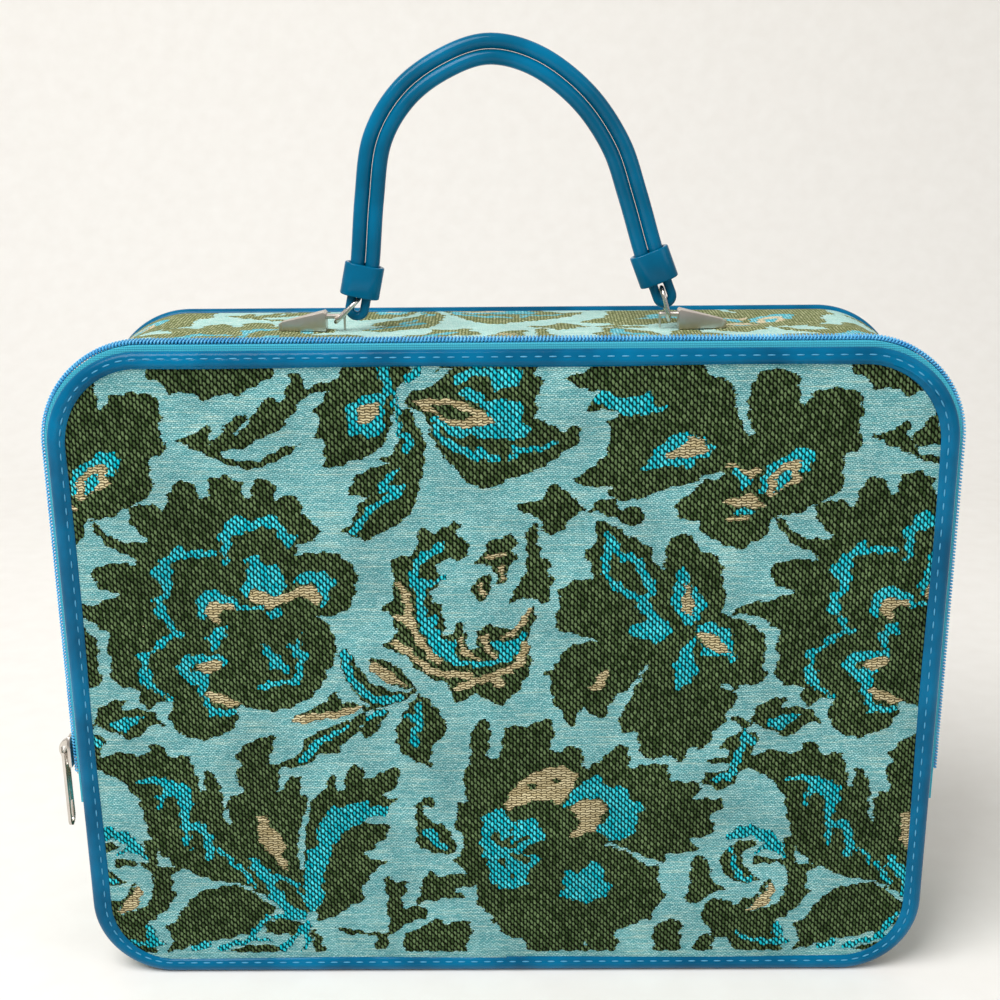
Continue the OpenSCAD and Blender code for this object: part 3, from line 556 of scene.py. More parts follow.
# %% Pattern outlines: turquoise
shape(
    TURQUOISE,
    # large flower at the top right
    "37,266 39,269 41.7,270.7 44,270.3 45,267.3 50,267.3 56.7,268.2 59.6,270.7 60,265 63.3,263.6 "
    "67.5,263.6 63.3,261.5 58.3,260.3 52.5,259.8 47.5,260.3 45,263 41,264",
    "54,238 58.3,239 60,240.7 61,245 64,247.3 69,250.7 71.7,253 78.3,251.5 82.5,249 86.7,245.7 85,243 "
    "78.3,241.5 76.7,237.3 74,236.5 73.3,239 68.3,238.6 64,238.2 60,237.3 56.7,237.3",
    "105.4,229 106,234 108.3,238.2 112.5,240.7 116,243 119,245.7 123.3,246 126.7,245 126.3,240 "
    "124,235.7 121.7,235.3 118,240 110,236 108.3,231.5 108.5,227 109,225.7 107,226.5",
    "93,238.6 95,235 97.5,230.7 100,227.3 101,229 101,233 98.3,235.7 96,237.3",
    "95,218.5 97.5,220.5 103,219.5 103,217.5 99,217.5",
    # bell flowers
    "-60,265.7 -56,268 -51.7,269.8 -47,269 -47,265 -48.8,262.3 -48.3,256.5 -50,253 -52.5,250.7 "
    "-55,251.5 -56.7,253 -60,252.3 -61.7,250.7 -62.5,257.3 -63.3,263",
    "-20,273 -18.3,276.5 -16,279 -6.7,280 8,279 7.5,275 6,271.5 1.7,272.3 0,270.3 -3.3,269 -4,273 "
    "-6,276.5 -11,276.5 -14,275 -17.5,273",
    "-17.5,270.5 -14,271.5 -11,271 -8.5,269.5 -8,266.5 -10,264.5 -14,267.5 -18,268.5",
    "-8.3,265 -5,266.5 0,267 5,266 8,264 8.3,260.7 6,259 8.3,256.5 11,255 10.4,251.5 6.7,250 1.7,250.7 "
    "-3.3,251 -8.3,250.7 -11,253 -15,251.5 -18.3,250.7 -21,253 -25,255.7 -28.8,260 -26.7,260 "
    "-22.5,256.5 -13.3,255 -2.5,257 -6.7,262.3",
    "-10,247.3 -8,246.5 -6.7,245 -1.7,243 0,240.7 -2.5,241 -7.5,242 -11,243",
    "3.3,248.2 5.4,247.3 6.7,245.7 5.4,242.3 2.5,240.7 1.7,242.3 4,245",
    "-39,274 -36,274.5 -33,278 -31.5,280.5 -35.5,280.5 -38,277.5",
    "-40,253 -37,252.5 -36.3,250 -37.3,246.5 -39.5,244 -40.5,247 -39,250",
    # flower at the bottom
    "-10,78.7 -6,81 -3.3,83 -1.7,82 -0.4,80 3.3,78 3.7,75 2,71.7 2,69 0,67.5 2,64 5,75.8 9,78 14,77 "
    "14.6,74 15.4,71.7 17.5,70.4 18.3,68.7 16.7,66.7 13.3,66 11,66 9,64 6,61.7 3.3,60.4 2,61.7 13.3,59 "
    "15.4,58.3 15,56 12.5,53.3 10,52.5 8.7,50 9.6,46.7 10,44.6 6.7,44 3.3,43 1,42.5 -1.7,43.3 -4,44.6 "
    "-7,45 -6.7,48.3 -6.7,53.3 -7.5,57.5 -10,60 -10.8,63.3 -11,66.7 -10,71 -9,75",
    "24,83 28.3,87.5 29,91 31.7,94 36,96.3 39.6,98.5 42,98 43.3,95 46,92.5 49,93.3 52.5,93.3 54,91.7 "
    "53,87 56.7,86.3 61,84 61,81.3 58.3,79.6 58.3,76 56.3,73.3 57.5,71 54,68 48.3,67 44,68 41,71.3 "
    "39,73.3 43.3,76 46.3,79 46.3,81.7 44,86 40,88 35,87.5 31,86 26.7,83",
    "39,57 41.3,55 43.3,54 43.8,50 43.3,46.7 47,44 46.3,41 44,39 40,37 36.3,35 31.7,36.7 26.7,38.3 "
    "24,39 26,42.5 25.4,46.7 26.3,52 28.3,51.7 30,50.4 32.5,50 34,52 36,54.6 37.5,55.4",
    # star flower
    "54.6,178.3 56.7,180 60,181 61.7,178.3 64,175 67,171.7 72,166.7 67,163.3 65,160 63.7,159 62.5,162.5 "
    "59,163.3 54,164 52,165.4 54,168 56.7,170 60,170.4 58.8,174 56,177.5",
    "74,196.5 77,193 79,188 81,183 84.5,181 85,178 82.5,175 81,170.5 79,168 76,171.5 73,175 70.5,179 "
    "71,184 72.5,190",
    "81,166 83,169 86,170.4 91,169 95.3,166 97,164 96,160 98,155 99,151.3 96,153.3 92,156 88,154 "
    "85.3,155 84.5,158.3 82,162",
    "80,164 76,159 74.5,156 72.4,151 73.3,146.7 72.4,142.5 75,138.3 77.4,141.7 81,144 82,148.3 82,151.7 "
    "80,153.3 80,158.3",
    # scalloped flower
    "-143,189 -146.7,191 -147,194 -146,196 -143.3,198 -141.3,200.3 -139,202.8 -135,206 -133.3,205 "
    "-131,202.8 -126.7,203.6 -120,202.8 -120,200.7 -131,200.7 -136.7,199.4 -138.3,197.3 -139,194 "
    "-139,186 -141,182.5 -143.3,180 -142.5,177.5 -141.7,174 -140,172 -139,169 -136.7,167.5 -134,166.3 "
    "-136,165 -140,164.6 -144,161.7 -146,159 -149,156.7 -152,154.6 -151.3,148.3 -149,143.3 -151,141.3 "
    "-152.5,141 -155,142.5 -156,146 -155,149 -154,152.5 -156,156 -155,157.5 -151,158.3 -148.3,160 "
    "-146,163.3 -143.3,165 -140,166 -141,168.3 -142.5,171 -144.6,173 -146.7,174 -147,177.5 -146.7,182.5 "
    "-144,183.3 -142.5,186",
    "-118.3,210.7 -116.7,212 -114.5,213 -113.3,217.3 -111,218.6 -107.5,217.3 -104,215 -101.7,216.5 "
    "-99,218.2 -95,218.6 -92.5,217.3 -91,214 -88.8,210.7 -86.3,210 -86.3,205.7 -89.6,202.8 -91.3,206.5 "
    "-93,210 -95,213 -98.3,214 -101.7,213 -105,211.5 -108.3,210.7 -111,210.7 -113.3,207.3 -114,203 "
    "-114.6,196.5 -116.7,195.7 -116.7,200.7 -117,206.5",
    "-106.7,200.7 -101.5,201 -100.4,197.3 -99,195.5 -96.7,197 -94,196 -92.5,193 -91.3,188 -92,184 "
    "-96,182.5 -100,184 -105,186.5 -107,184.5 -107,181 -109.5,182.5 -109.3,187 -107.5,190",
    "-110,178.5 -104,179 -99,176 -94.5,177.5 -94.5,173 -97,172.5 -98.5,175.5 -103,177 -110,177",
    "-87.5,189 -86,192.5 -81,194 -75,193.6 -71.5,191.5 -70,189 -72.5,185.5 -74,181 -75.4,177.5 "
    "-78,176.7 -76.5,181 -76.5,185.5 -80.5,189 -85,187.8",
    "-129,181 -127,184 -124.5,186 -121.5,186.5 -118,184.5 -114,182 -111,181 -111,176.5 -114,176 "
    "-114.5,178 -119,180 -122,181.5 -125,180 -126,176 -126.5,172 -128.7,174",
    "-122.5,168.3 -117.5,170 -116.7,164 -120,165 -121,161 -122.5,157.5 -124.6,161 -126,164 -124,166",
    "-140,151 -136.7,155 -133.3,156.7 -128.3,156.3 -120,157 -118.8,153.3 -119.6,151 -122.5,149 "
    "-126,146.7 -127,143.5 -127,140 -129,138.3 -127.5,136.7 -126,134 -124,131 -119,131 -116,131.7 "
    "-114,130 -116.7,128.3 -126.7,128.3 -128.3,132.5 -130,136.7 -131.3,140 -131,143 -133.3,143 -136,145 "
    "-137.5,147.5",
    "-103.8,162 -102,163 -99.5,158.5 -96,156.5 -94,153 -91,149.5 -91.5,147.5 -95,149.5 -99.5,150.5 "
    "-100,155 -101.5,158.5",
    "-87.5,167.5 -86,166 -86,162.5 -87,158.3 -83.3,158.3 -84,155 -86,151 -85.4,146 -87.5,143 "
    "-96.7,142.5 -101.7,140.4 -105,141 -106,142 -103.3,143.3 -98.3,144.6 -92.5,145 -89,146.7 -88,149 "
    "-88,153.3 -89,156 -91.7,161 -91,162.5 -88.3,160 -87.5,164",
    # crescent leaf
    "-38,190 -37.5,186 -36.5,181 -36.5,174 -35,168 -32.5,162.5 -29,157.5 -25,153.5 -20.5,151.5 -19,153 "
    "-20,156 -22,158 -20,162 -20.5,165 -23,161.5 -25.5,162.5 -27,166 -29,169.5 -28,173.5 -30,174 "
    "-31,171.5 -32.5,174 -33.5,180 -33,185 -29,188 -32,190",
    "-6.7,161.7 -1.7,162 1.7,161.7 6,163.3 9,166.7 9.6,165 8.3,161 6,156.7 3.3,154 1,152.5 -3.3,151.3 "
    "-8.3,151 -10,152 -5,153.3 -2.5,156 -2.5,158.3 -5,159",
    # leaves left of the middle and at the bottom
    "-91,104 -86.7,110 -85,114 -81.7,116.7 -76.7,119 -71.7,121.7 -66,124 -68.3,121 -72.5,118.3 "
    "-76.7,116.7 -80,114 -82.5,110 -86,107.5 -88.3,106",
    "-37,136.7 -35.4,136 -36,128.3 -34.5,127 -35,123.3 -36,121 -38,119 -37,115 -38,112 -39.6,112.5 "
    "-41,117.5 -39,124 -41.7,126.7 -41.3,129 -38.8,128.3",
    "-37,74 -34,73 -31.3,71.3 -29.6,68.3 -26.7,65 -24.6,61.7 -28,62 -31.3,65 -34,67.5 -36,71.3",
    # feathered cluster at the lower left
    "-161,96 -159.6,97.5 -155,98.8 -150,98.3 -144,96.7 -139,94 -137,91.7 -137.5,85 -139,82 -140,75 "
    "-139.6,68 -140,62.5 -142,64.6 -142.5,72.5 -143,79 -143.3,89 -146.7,89.6 -150,89 -151,95 "
    "-157.5,96.7 -160.4,94.6",
    "-139,76 -134.6,76.7 -132.5,76 -132,73.3 -130,71 -129.6,66.7 -130,58.3 -131.7,57 -133.3,58.3 "
    "-133,65 -134,71 -136,73 -138.3,73 -139.6,71.7",
    "-128.3,65 -126.7,64 -124,61 -121,56.7 -120,53.3 -121.7,53.3 -122.5,56.7 -125,59 -128,62",
    "-114,59 -112,59 -109,54.6 -105,51.7 -103.3,51 -100,49.6 -96,48.3 -93.3,46 -91.7,41.7 -89,36 "
    "-88.3,33.3 -90,34 -92.5,40 -95,44.6 -98.3,46.7 -102.5,48 -103,46 -101,43.3 -100,40 -98,36.7 "
    "-95,33.3 -89,31 -88.8,29 -91.7,28.3 -96.7,29 -100,31.3 -102.5,34 -106.7,39 -106,43.3 -109,47.5 "
    "-111.7,51.7 -114,53.3",
    "-89.6,38.3 -90,50 -88.8,53.3 -87.5,60 -87,62.5 -84,64 -83,66.7 -83.3,71.7 -81.3,76 -78.3,81 "
    "-76.3,84 -71.7,84 -66,85.4 -62.5,86.7 -60,86.3 -60,84 -50.4,84 -52.5,80 -56.7,79 -60,79 -63.3,76 "
    "-66.7,74 -70,72.5 -74,68.3 -76.3,65 -78.3,60 -79,56 -81.7,50 -82,45 -81.3,40 -83.3,35 -85,31.7 "
    "-87.5,31",
    "-116,20 -113.3,22.5 -111,27.5 -108.3,28.3 -106.7,26.7 -109,25 -111,22.5 -114,17.5 -116.7,18",
    "-90.4,26.7 -88.8,26.7 -88.8,20 -89,15 -91,10.4 -92.5,10.4 -91.3,15 -91,21.7",
    "-144,12.5 -140,14 -137.5,16.7 -135,16.3 -135,11.7 -140,11 -143.3,11",
    "-131,11.7 -128.3,14 -123.3,16 -119,16.3 -116,18.3 -105,16.7 -105.4,15 -113.3,16 -120,14 -125,12.5 "
    "-130,10.4",
    # scroll and sprigs at the right
    "97.4,67.5 99.5,71 103.7,73.3 108,74 112,73 116,71 119.5,68 121.6,65 123.7,61 125,57.5 122.4,58.3 "
    "119.5,61 116,62.5 113,60 110.5,59.6 112,61.7 115.3,65 113,67 108.7,69 103.7,67 98.7,67",
    "101.6,24 103.7,22.5 106,19 110.3,17 115.3,16.3 120.3,16 123.7,15 126,13.3 120.3,13.3 115.3,14 "
    "108.7,15.4 105.3,17.5 103,21",
    "120.3,24 123,25 124.5,21 126,16.7 128.7,13.3 123.7,14 121,20",
    "112,123.3 115.3,126 119.5,127 123.7,128 128,127 125.3,125.4 122,124 121,121 119.5,120.4 116,121.3 "
    "113.7,122",
)
shape(
    TURQUOISE,
    "-68,157 -67,150 -64.5,144 -61,139 -57,136 -51,135 -45,136",
    "-26,205 -29,202.3 -33.3,200 -36,196.5 -37.8,192 -37.5,188",
    "44.5,208 47,202.5 50,199 54,199.3 56.5,197 58,193 61,187 62,184 59,180",
    "-48,280 -47,275 -45,270.5",
    width=3.4,
)
shape(
    TURQUOISE,
    "104,119 103,113 101,107.5 99.5,102 98,97",
    "104.5,118 108,114",
    "92,97 100,100",
    "100.3,61.7 101.6,53.3 104.5,48.3 108.7,46.7",
    "-41.5,230.5 -44,227.5 -48.5,225 -53,222 -56.5,219 -59,214.5 -62,211",
    "-27.5,256 -25,251 -21,248 -15.5,245.5 -11,242.5",
    "-91.7,22.5 -94,19.5 -97.5,16 -101.5,11.5",
    "44,209 43,200 42.5,193 45,189 51,184 58,180",
    width=2.8,
)
shape(
    TURQUOISE,
    "-43.5,267 -42,259 -41.5,252",
    "-43,238 -47,233.5 -50.5,231 -49.5,229 -45,230 -41.5,230.5",
    "6,246 13,246 19,247 21,249",
    "-150,141 -145,137 -143.5,135.5",
    "-118.3,55 -116,51 -114,47.5 -112,44",
    "-151.5,89 -151.5,84",
    "-108,28.5 -100,28.5 -92,27.5",
    "-20,152 -15,152 -9,151",
    "-58,127 -52,130",
    "-25,191 -32,187",
    width=1.9,
)
# dark folds of the flower at the bottom, and of the curl at the left
shape(
    GREEN,
    "-6.3,72.5 -3.3,71 -1.7,67.5 0,66 2,64 5,68 8.3,69.6 11.3,69.6 11,68 7.5,66 4,63.3 -0.4,63.3 "
    "-3.3,65 -6,66.7 -6.3,69",
    "2,61 6,59.6 10,59 12,57.5 9,55 6,57 3.3,58.5",
    "-2.5,59 0,58.3 1,54 0.5,51.5 -1.5,52.5 -3,55",
    "3,51.5 5,50.5 4.5,47.5 2,48.5 1,50",
    "-134,152 -131,153 -130.5,149 -133,148.5",
)
print("green and turquoise:", len(pattern), "shapes")

# %% [markdown]
# The beige lights come next, mostly on the turquoise, and last a few cuts back to the ground that part
# petals from each other.

# %% Pattern outlines: beige lights and cuts back to the ground
shape(
    BEIGE,
    "65,243 69,245 73.3,246.5 75,249 74,251 79,251 82.5,248 85,245.3 81.7,244 76.7,242.3 71.7,242 "
    "66.7,242",
    "108.3,227.3 108.3,231.5 110,235.7 114,239 118.3,240.7 122,240.7 121,236.5 122.5,232.3 118.3,230 "
    "113.3,227.3 109,225",
    "90,224 96.7,225 100,226.5 104,226 104,223 108.8,222 107.5,220.3 100,220.7 95,221.5 91.7,222",
    "91.7,215.7 97.5,217.3 104,215.7 102.5,215 96.7,215.3 93.3,214.4",
    "89,240.7 91.7,240 96,238.6 100,236.5 105,238.5 105,236 102.5,232.3 103,230 101,233.5 98,236 "
    "95,237.5 91,239",
    "-58.8,264 -54,265.7 -50,266 -49.6,262.3 -51.7,260.7 -52.5,258 -55,257 -58.3,257",
    "-37.5,266 -32.5,267 -26.7,267.3 -19,267 -15,265.3 -10,263 -6.7,260.7 -3.3,258 -3,257 -8.3,256 "
    "-13.3,255.3 -19,255.3 -22.5,257 -26.7,260 -31,262.8 -34,264.4",
    "-106.7,185 -105,186.7 -102.5,185.4 -100,184 -96,182.5 -91.7,184 -86,186.7 -81,188.3 -77,185 "
    "-77,180.4 -78.8,178.3 -81,181 -84,183 -89,181 -94,179 -97.5,177 -100,177.5 -103.3,180 -106.7,181",
    "-125.4,179 -123.3,181 -112.5,179 -113.3,176.3 -119,177.5 -119.6,175 -120,170.4 -122.5,171 "
    "-125,173.3",
    "-130,151.7 -126.7,154 -121.7,154 -120,153.3 -120,151 -123.3,149 -128.3,147.5 -130.4,149",
    "-129,138 -126,139.6 -121.7,139 -117.5,136.7 -113.3,133.3 -116,132 -120,133.3 -125,135",
    "0.4,82.5 2.5,82 6,84 10,86.3 15,87 20,86.7 23.3,85 26.7,87.5 28.8,91 30.4,95 31.7,99 29,101.7 "
    "26,103.3 19,102.5 13.3,101 9,98.3 4,93.3 1.7,89 0,84",
    "29,83.3 32.5,86.3 36.7,87.5 41.7,86.7 45,84.6 45.4,82.5 42.5,80 41.3,75 40,71.7 36,71 31,69 "
    "27,67.5 29,70 31.7,72.5 32.5,76 31.3,80 28.8,81.3",
    "-109,80 -104.6,80 -104.6,76 -103,73.3 -100.4,71 -99.6,67.5 -97,66 -98,63.3 -99,61.7 -97.5,56 "
    "-96.3,52.5 -97.5,52 -100,55 -103,58.3 -105,61.7 -107.5,64 -109,66.7",
    "75.5,188.5 78,186 79.5,181 80,175 78.5,172 76,175.5 74,179 76,182",
    "81,165 86,166 90.3,163.3 93.7,160 96,156 97,153.3 94.5,156 90.3,156.7 87,156.7 84.5,161",
    "36,139 39,143.3 41,147.5 44,150 45,148.3 43.3,143.3 41.7,139",
    "107.4,31 111,34 114.5,38.3 117,42.5 119.5,45.4 120.3,41.7 119.5,38.3 117.4,34 115.3,32 111,31",
    "-91.7,125 -89.6,128.3 -84,129 -77.5,129.6 -71.7,130.4 -63.3,132.5 -60,132 -63.3,130 -69,127.5 "
    "-73.3,126.7 -80,126 -86.7,124",
    "-57.5,152.5 -56,153.3 -51.7,151 -47.5,147.5 -43.3,143.3 -41,141 -44,141.7 -50,143.3 -54,146 "
    "-57,148.3",
    "-7.5,145 -1,146.5 0,142 -2,139 -4,141",
)
shape(
    BEIGE,
    "-43.5,188 -41,183 -40,176 -39,170 -36,163 -32,157 -28,152.5",
    "-46.5,161 -42,158.5 -37,153.5 -32,149 -27,147 -21,147 -15,146.5",
    "-19.5,140.5 -15,142.5 -9,144.5 -3,147 2,149 6.5,151 8,156 9.3,160",
    width=3.2,
)
shape(
    BEIGE,
    "-46,174 -42,171.5 -39,168",
    "-10.5,163.5 -7,165 -8,160.5 -6,157 -3.5,154.5",
    "0,163.5 4,166 7.5,170 11,176",
    "-18,163 -18,158 -15,156 -11,154",
    "-10,188 -8.5,183",
    "-7,200 0,200.5",
    "-1,196 -0.5,190",
    width=2,
)
shape(TURQUOISE, "111.7,227.3 111.7,232.3 114,235 117.5,237.3 119,237.3 117.5,232.3 115,229")
shape(GREEN, "-28.8,265 -24,265 -18.3,264 -15,262 -11,260.3 -15,259 -19,258 -22.5,260 -26,261.5 -28.3,263")
shape(GREEN, "11.7,93.8 11.8,93.8", "22.9,95.8 23,95.8", width=3.6)
shape(
    GROUND,
    "71.7,226.5 73.3,228 76.7,230.7 81.7,234 86.7,236 91,235 89,233 83.3,233 80,230 75,226.5",
    "49,131.7 51.7,136 54,141 56.7,145 60,150 62.5,152 61,149 57.5,143.3 55,138.3 53.3,132.5",
    "42.5,64.6 46.7,66.3 50,64 56,61.7 60,59 66,56.5 70,55 66,53.5 61,55.5 56.7,58 54,61.5 49,63",
    "-85,86.7 -89.6,76 -91,66.7 -92,54 -90.5,52.5 -88.8,60 -89,66.7 -88,72.5 -86.5,79",
    "-41.7,270.3 -35,273 -28.3,276 -23.3,280 -20,280 -23.3,276.5 -28.3,272.8 -35,270.3 -40,269.4",
    "91,142.5 95,141.5 99,139 102,137 101,135.5 97,138.5 92,141",
    "34,15.5 36,15 38,13.5 35,13.5",
)
print("pattern:", len(pattern), "shapes")

# %% [markdown]
# On the loom one thread or another comes to the top at each crossing. Here the outlines decide it: a
# place takes the colour of the last shape that covers it, in whichever repeat of the design comes near.
# A place is inside a closed outline when a level line from it crosses the outline an odd number of times.

# %% Which thread lies on top at a place
REACH = 3
REPEATS_EACH_WAY = 6


def covers(corners, width, at):
    """True where a closed outline, or a line of the given width, covers the places."""
    hit = np.zeros(len(at), bool)
    if width:
        for a, b in zip(corners[:-1], corners[1:]):
            t = np.clip(((at - a) @ (b - a)) / ((b - a) @ (b - a)), 0, 1)
            hit |= np.linalg.norm(at - a - t[:, None] * (b - a), axis=1) < width / 2
        return hit
    for a, b in zip(corners, np.roll(corners, -1, 0)):
        if a[1] != b[1]:
            crossing = (a[1] > at[:, 1]) != (b[1] > at[:, 1])
            hit ^= crossing & (at[:, 0] < a[0] + (at[:, 1] - a[1]) / (b[1] - a[1]) * (b[0] - a[0]))
    return hit


def threads_at(at, drops):
    """The thread on top at each place; drops are the rows of the repeat that can reach there."""
    top = np.full(len(at), GROUND)
    low, high = at.min(0), at.max(0)
    for kind, corners, width in pattern:
        for drop in drops:
            for turn in range(-REPEATS_EACH_WAY, REPEATS_EACH_WAY + 1):
                moved = corners + drop * HALF_DROP + turn * REPEAT
                if (moved.max(0) < low - REACH).any() or (moved.min(0) > high + REACH).any():
                    continue
                near = ((at > moved.min(0) - REACH) & (at < moved.max(0) + REACH)).all(1)
                top[np.flatnonzero(near)[covers(moved, width, at[near])]] = kind
    return top


# %% [markdown]
# A piece of tapestry is a grid whose columns are warp threads. The design is looked up three times as
# finely as the grid, with a ripple that roughens its edges, and each corner keeps the share of figure,
# of turquoise and of beige round it. Where there is figure the corner stands out from the ground.

# %% Woven cloth
FLOAT_HEIGHT = 0.45
FINE, WINDOW = 3, (2, 1)
ROUGH_X, ROUGH_Z = 0.6, 0.5
FIRST_FACES = 50


def spread(picture, kx, ky):
    """Mean of a picture over a window that reaches kx and ky places each way."""
    total = np.pad(picture.astype(float), ((ky + 1, ky), (kx + 1, kx)), "edge").cumsum(0).cumsum(1)
    wide, tall = 2 * kx + 1, 2 * ky + 1
    ends, starts = total[tall:], total[:-tall]
    return (ends[:, wide:] - starts[:, wide:] - ends[:, :-wide] + starts[:, :-wide]) / wide / tall


def thread_shares(columns, rows, width, height, pattern_at, drops):
    """Shares of figure, turquoise and beige at the corners of a grid, row by row."""
    x, z = np.meshgrid(np.linspace(0, width, columns * FINE + 1), np.linspace(0, height, rows * FINE + 1))
    rough_x = ROUGH_X * np.sin(1.05 * z + 1.7 * np.sin(0.31 * x))
    rough_z = ROUGH_Z * np.sin(0.93 * x + 1.9 * np.sin(0.27 * z))
    at = np.stack([x + rough_x, z + rough_z], 2)
    top = threads_at(pattern_at(at.reshape(-1, 2)), drops).reshape(x.shape)
    pictures = (top > GROUND, top == TURQUOISE, top == BEIGE)
    return np.stack([spread(picture, *WINDOW)[::FINE, ::FINE] for picture in pictures], 2)


def woven_cloth(name, columns, rows, height, pattern_at, drops, place):
    """A grid of cloth: pattern_at(mm) gives the place in the design, place(u, v, lift) the shape."""
    piece, uv = new_grid(name, columns, rows)
    width = columns * WARP
    laid = np.zeros((len(uv), 3), np.float32)
    laid[:, :2] = uv * (width, height)
    shares = thread_shares(columns, rows, width, height, pattern_at, drops)
    i, j = np.rint(uv * (columns, rows)).astype(int).T
    share = shares[j, i].astype(np.float32)
    move_points(piece, np.stack(place(uv[:, 0], uv[:, 1], FLOAT_HEIGHT * share[:, 0]), 1) * MM)
    mesh = piece.data
    for attribute, values in (("weave", laid), ("threads", share)):
        mesh.attributes.new(attribute, "FLOAT_VECTOR", "POINT").data.foreach_set("vector", values.ravel())
    mesh.polygons.foreach_set("use_smooth", np.ones(len(mesh.polygons), bool))
    print(name, "shares of figure, turquoise and beige:", share.mean(0).round(2).tolist())
    return piece


def face_outwards(piece, direction):
    """Turns the faces over when the first ones look away from the direction."""
    mean = sum((p.normal for p in piece.data.polygons[:FIRST_FACES]), Vector())
    if mean.dot(Vector(direction)) < 0:
        piece.data.flip_normals()


# %% [markdown]
# The front and back faces. Both sheets are cut to the outline inside the rolled edge of the binding.
# The cells outside its round corners are deleted, and the stepped edge that this leaves lies under the
# vinyl strip. The cloth swells a little off its board towards the middle.

# %% Front and back tapestry
COLUMNS, ROWS, ROW = 251, 276, 1.0
PANEL_W, PANEL_H, PANEL_LOW = COLUMNS * WARP, ROWS * ROW, 5.4
PANEL = (PANEL_W, PANEL_LOW, PANEL_LOW + PANEL_H, 29.6, 34.6)
CLOTH_Y, STRIP, RAMP, TRIM = 52.6, 2.6, 3, 0.5
SWELL, SWELL_REACH = 0.5, 60
DENT, DENT_X, DENT_Z = 0.25, 37, 29
BACK_SHIFT = (250, 60)


def from_edge(x, z, width, low, high, low_r, high_r):
    """How far inside a rounded outline a place is, in mm."""
    radius = np.where(z > (low + high) / 2, high_r, low_r)
    dx = np.abs(x) - (width / 2 - radius)
    dz = np.abs(z - (low + high) / 2) - ((high - low) / 2 - radius)
    return radius - np.hypot(np.maximum(dx, 0), np.maximum(dz, 0)) - np.minimum(np.maximum(dx, dz), 0)


def trim_corners(piece):
    alone(piece)
    middle = np.array([p.center for p in piece.data.polygons]) / MM
    inside = from_edge(middle[:, 0], middle[:, 2], *PANEL)
    bpy.ops.object.mode_set(mode="EDIT")
    bpy.ops.mesh.select_all(action="DESELECT")
    bpy.ops.object.mode_set(mode="OBJECT")
    piece.data.polygons.foreach_set("select", inside < TRIM)
    bpy.ops.object.mode_set(mode="EDIT")
    bpy.ops.mesh.select_mode(type="FACE")
    bpy.ops.mesh.delete(type="FACE")
    bpy.ops.object.mode_set(mode="OBJECT")


def panel_place(side):
    def place(u, v, lift):
        x, z = (u - 0.5) * PANEL_W, PANEL_LOW + v * PANEL_H
        inside = from_edge(x, z, *PANEL)
        clear = np.clip((inside - STRIP) / RAMP, 0, 1)
        swell = SWELL * np.clip(inside / SWELL_REACH, 0, 1) ** 0.5
        dents = DENT * np.sin(x / DENT_X + 1) * np.sin(z / DENT_Z)
        return x, side * (CLOTH_Y + clear * (lift + (swell + dents))), z
    return place


front_cloth = woven_cloth(
    "front_tapestry", COLUMNS, ROWS, PANEL_H, lambda at: at + (-PANEL_W / 2, PANEL_LOW), [0], panel_place(-1)
)
trim_corners(front_cloth)
face_outwards(front_cloth, (0, -1, 0))
dress(front_cloth, tapestry, "tapestry", None, "front_panel", "flap_panel")

back_cloth = woven_cloth(
    "back_tapestry", COLUMNS, ROWS, PANEL_H, lambda at: at * (-1, 1) + BACK_SHIFT, [-1, 0, 1], panel_place(1)
)
trim_corners(back_cloth)
face_outwards(back_cloth, (0, 1, 0))
dress(back_cloth, tapestry, "tapestry", "case", "back_panel")

# %% [markdown]
# The gusset, bindings and zip all follow rounded rectangles, so one helper walks round such an outline
# from the middle of the base and says where it gets to and which way is out.

# %% A walk round a rounded outline
CASE = (370.0, 0, 286.0, 34.0, 39.0)


def around(s, width, low, high, low_r, high_r):
    """Place and outward direction after s mm, going right along the base and then up."""
    edge, base, top = width / 2, width / 2 - low_r, width / 2 - high_r
    side, low_turn, high_turn = high - low - low_r - high_r, low_r * math.pi / 2, high_r * math.pi / 2
    starts = np.cumsum([0, base, low_turn, side, high_turn, 2 * top, high_turn, side, low_turn])
    k = np.clip(np.searchsorted(starts, s, "right") - 1, 0, 8)
    t = s - starts[k]
    radius = np.array([1, low_r, 1, high_r, 1, high_r, 1, low_r, 1])[k]
    turned = (k // 2) * math.pi / 2
    out = turned - math.pi / 2 + np.where(k % 2, t / radius, 0)
    begin = np.array(
        [(0, low), (base, low + low_r), (edge, low + low_r), (top, high - high_r), (top, high),
         (-top, high - high_r), (-edge, high - high_r), (-base, low + low_r), (-base, low)]
    )[k]
    x = begin[:, 0] + np.where(k % 2, radius * np.cos(out), t * np.cos(turned))
    z = begin[:, 1] + np.where(k % 2, radius * np.sin(out), t * np.sin(turned))
    return x, z, np.cos(out), np.sin(out)


def length_round(width, low, high, low_r, high_r):
    return 2 * (width + high - low) - (4 - math.pi) * (low_r + high_r)


gusset_run = length_round(*CASE)
print("round the case:", round(gusset_run, 1), "mm")

# %% [markdown]
# The gusset is the band of tapestry between the two faces. Below the fold of the flap it runs from seam to
# seam, and above it only as far as the zip, where its hem rises to the tape. It is the same woven grid,
# laid round the outline, so the design goes on round the corners. Between seam and zip it dips a little.

# %% Gusset
GUSSET_IN, GUSSET_D = 0.6, 93.0
BACK_SEAM, FRONT_SEAM = 48.6, -48.6
BAND_END, HEM_END, HEM_RISE = -30.2, -40.2, 2.8
FOLD, FOLD_RAMP = 83.7, 5
SEAM_RAMP, SLACK, SLACK_WAVE = 18, 0.9, 11
GUSSET_SHIFT = (620, 262)
BAND = (BACK_SEAM - BAND_END) / (BACK_SEAM - HEM_END)


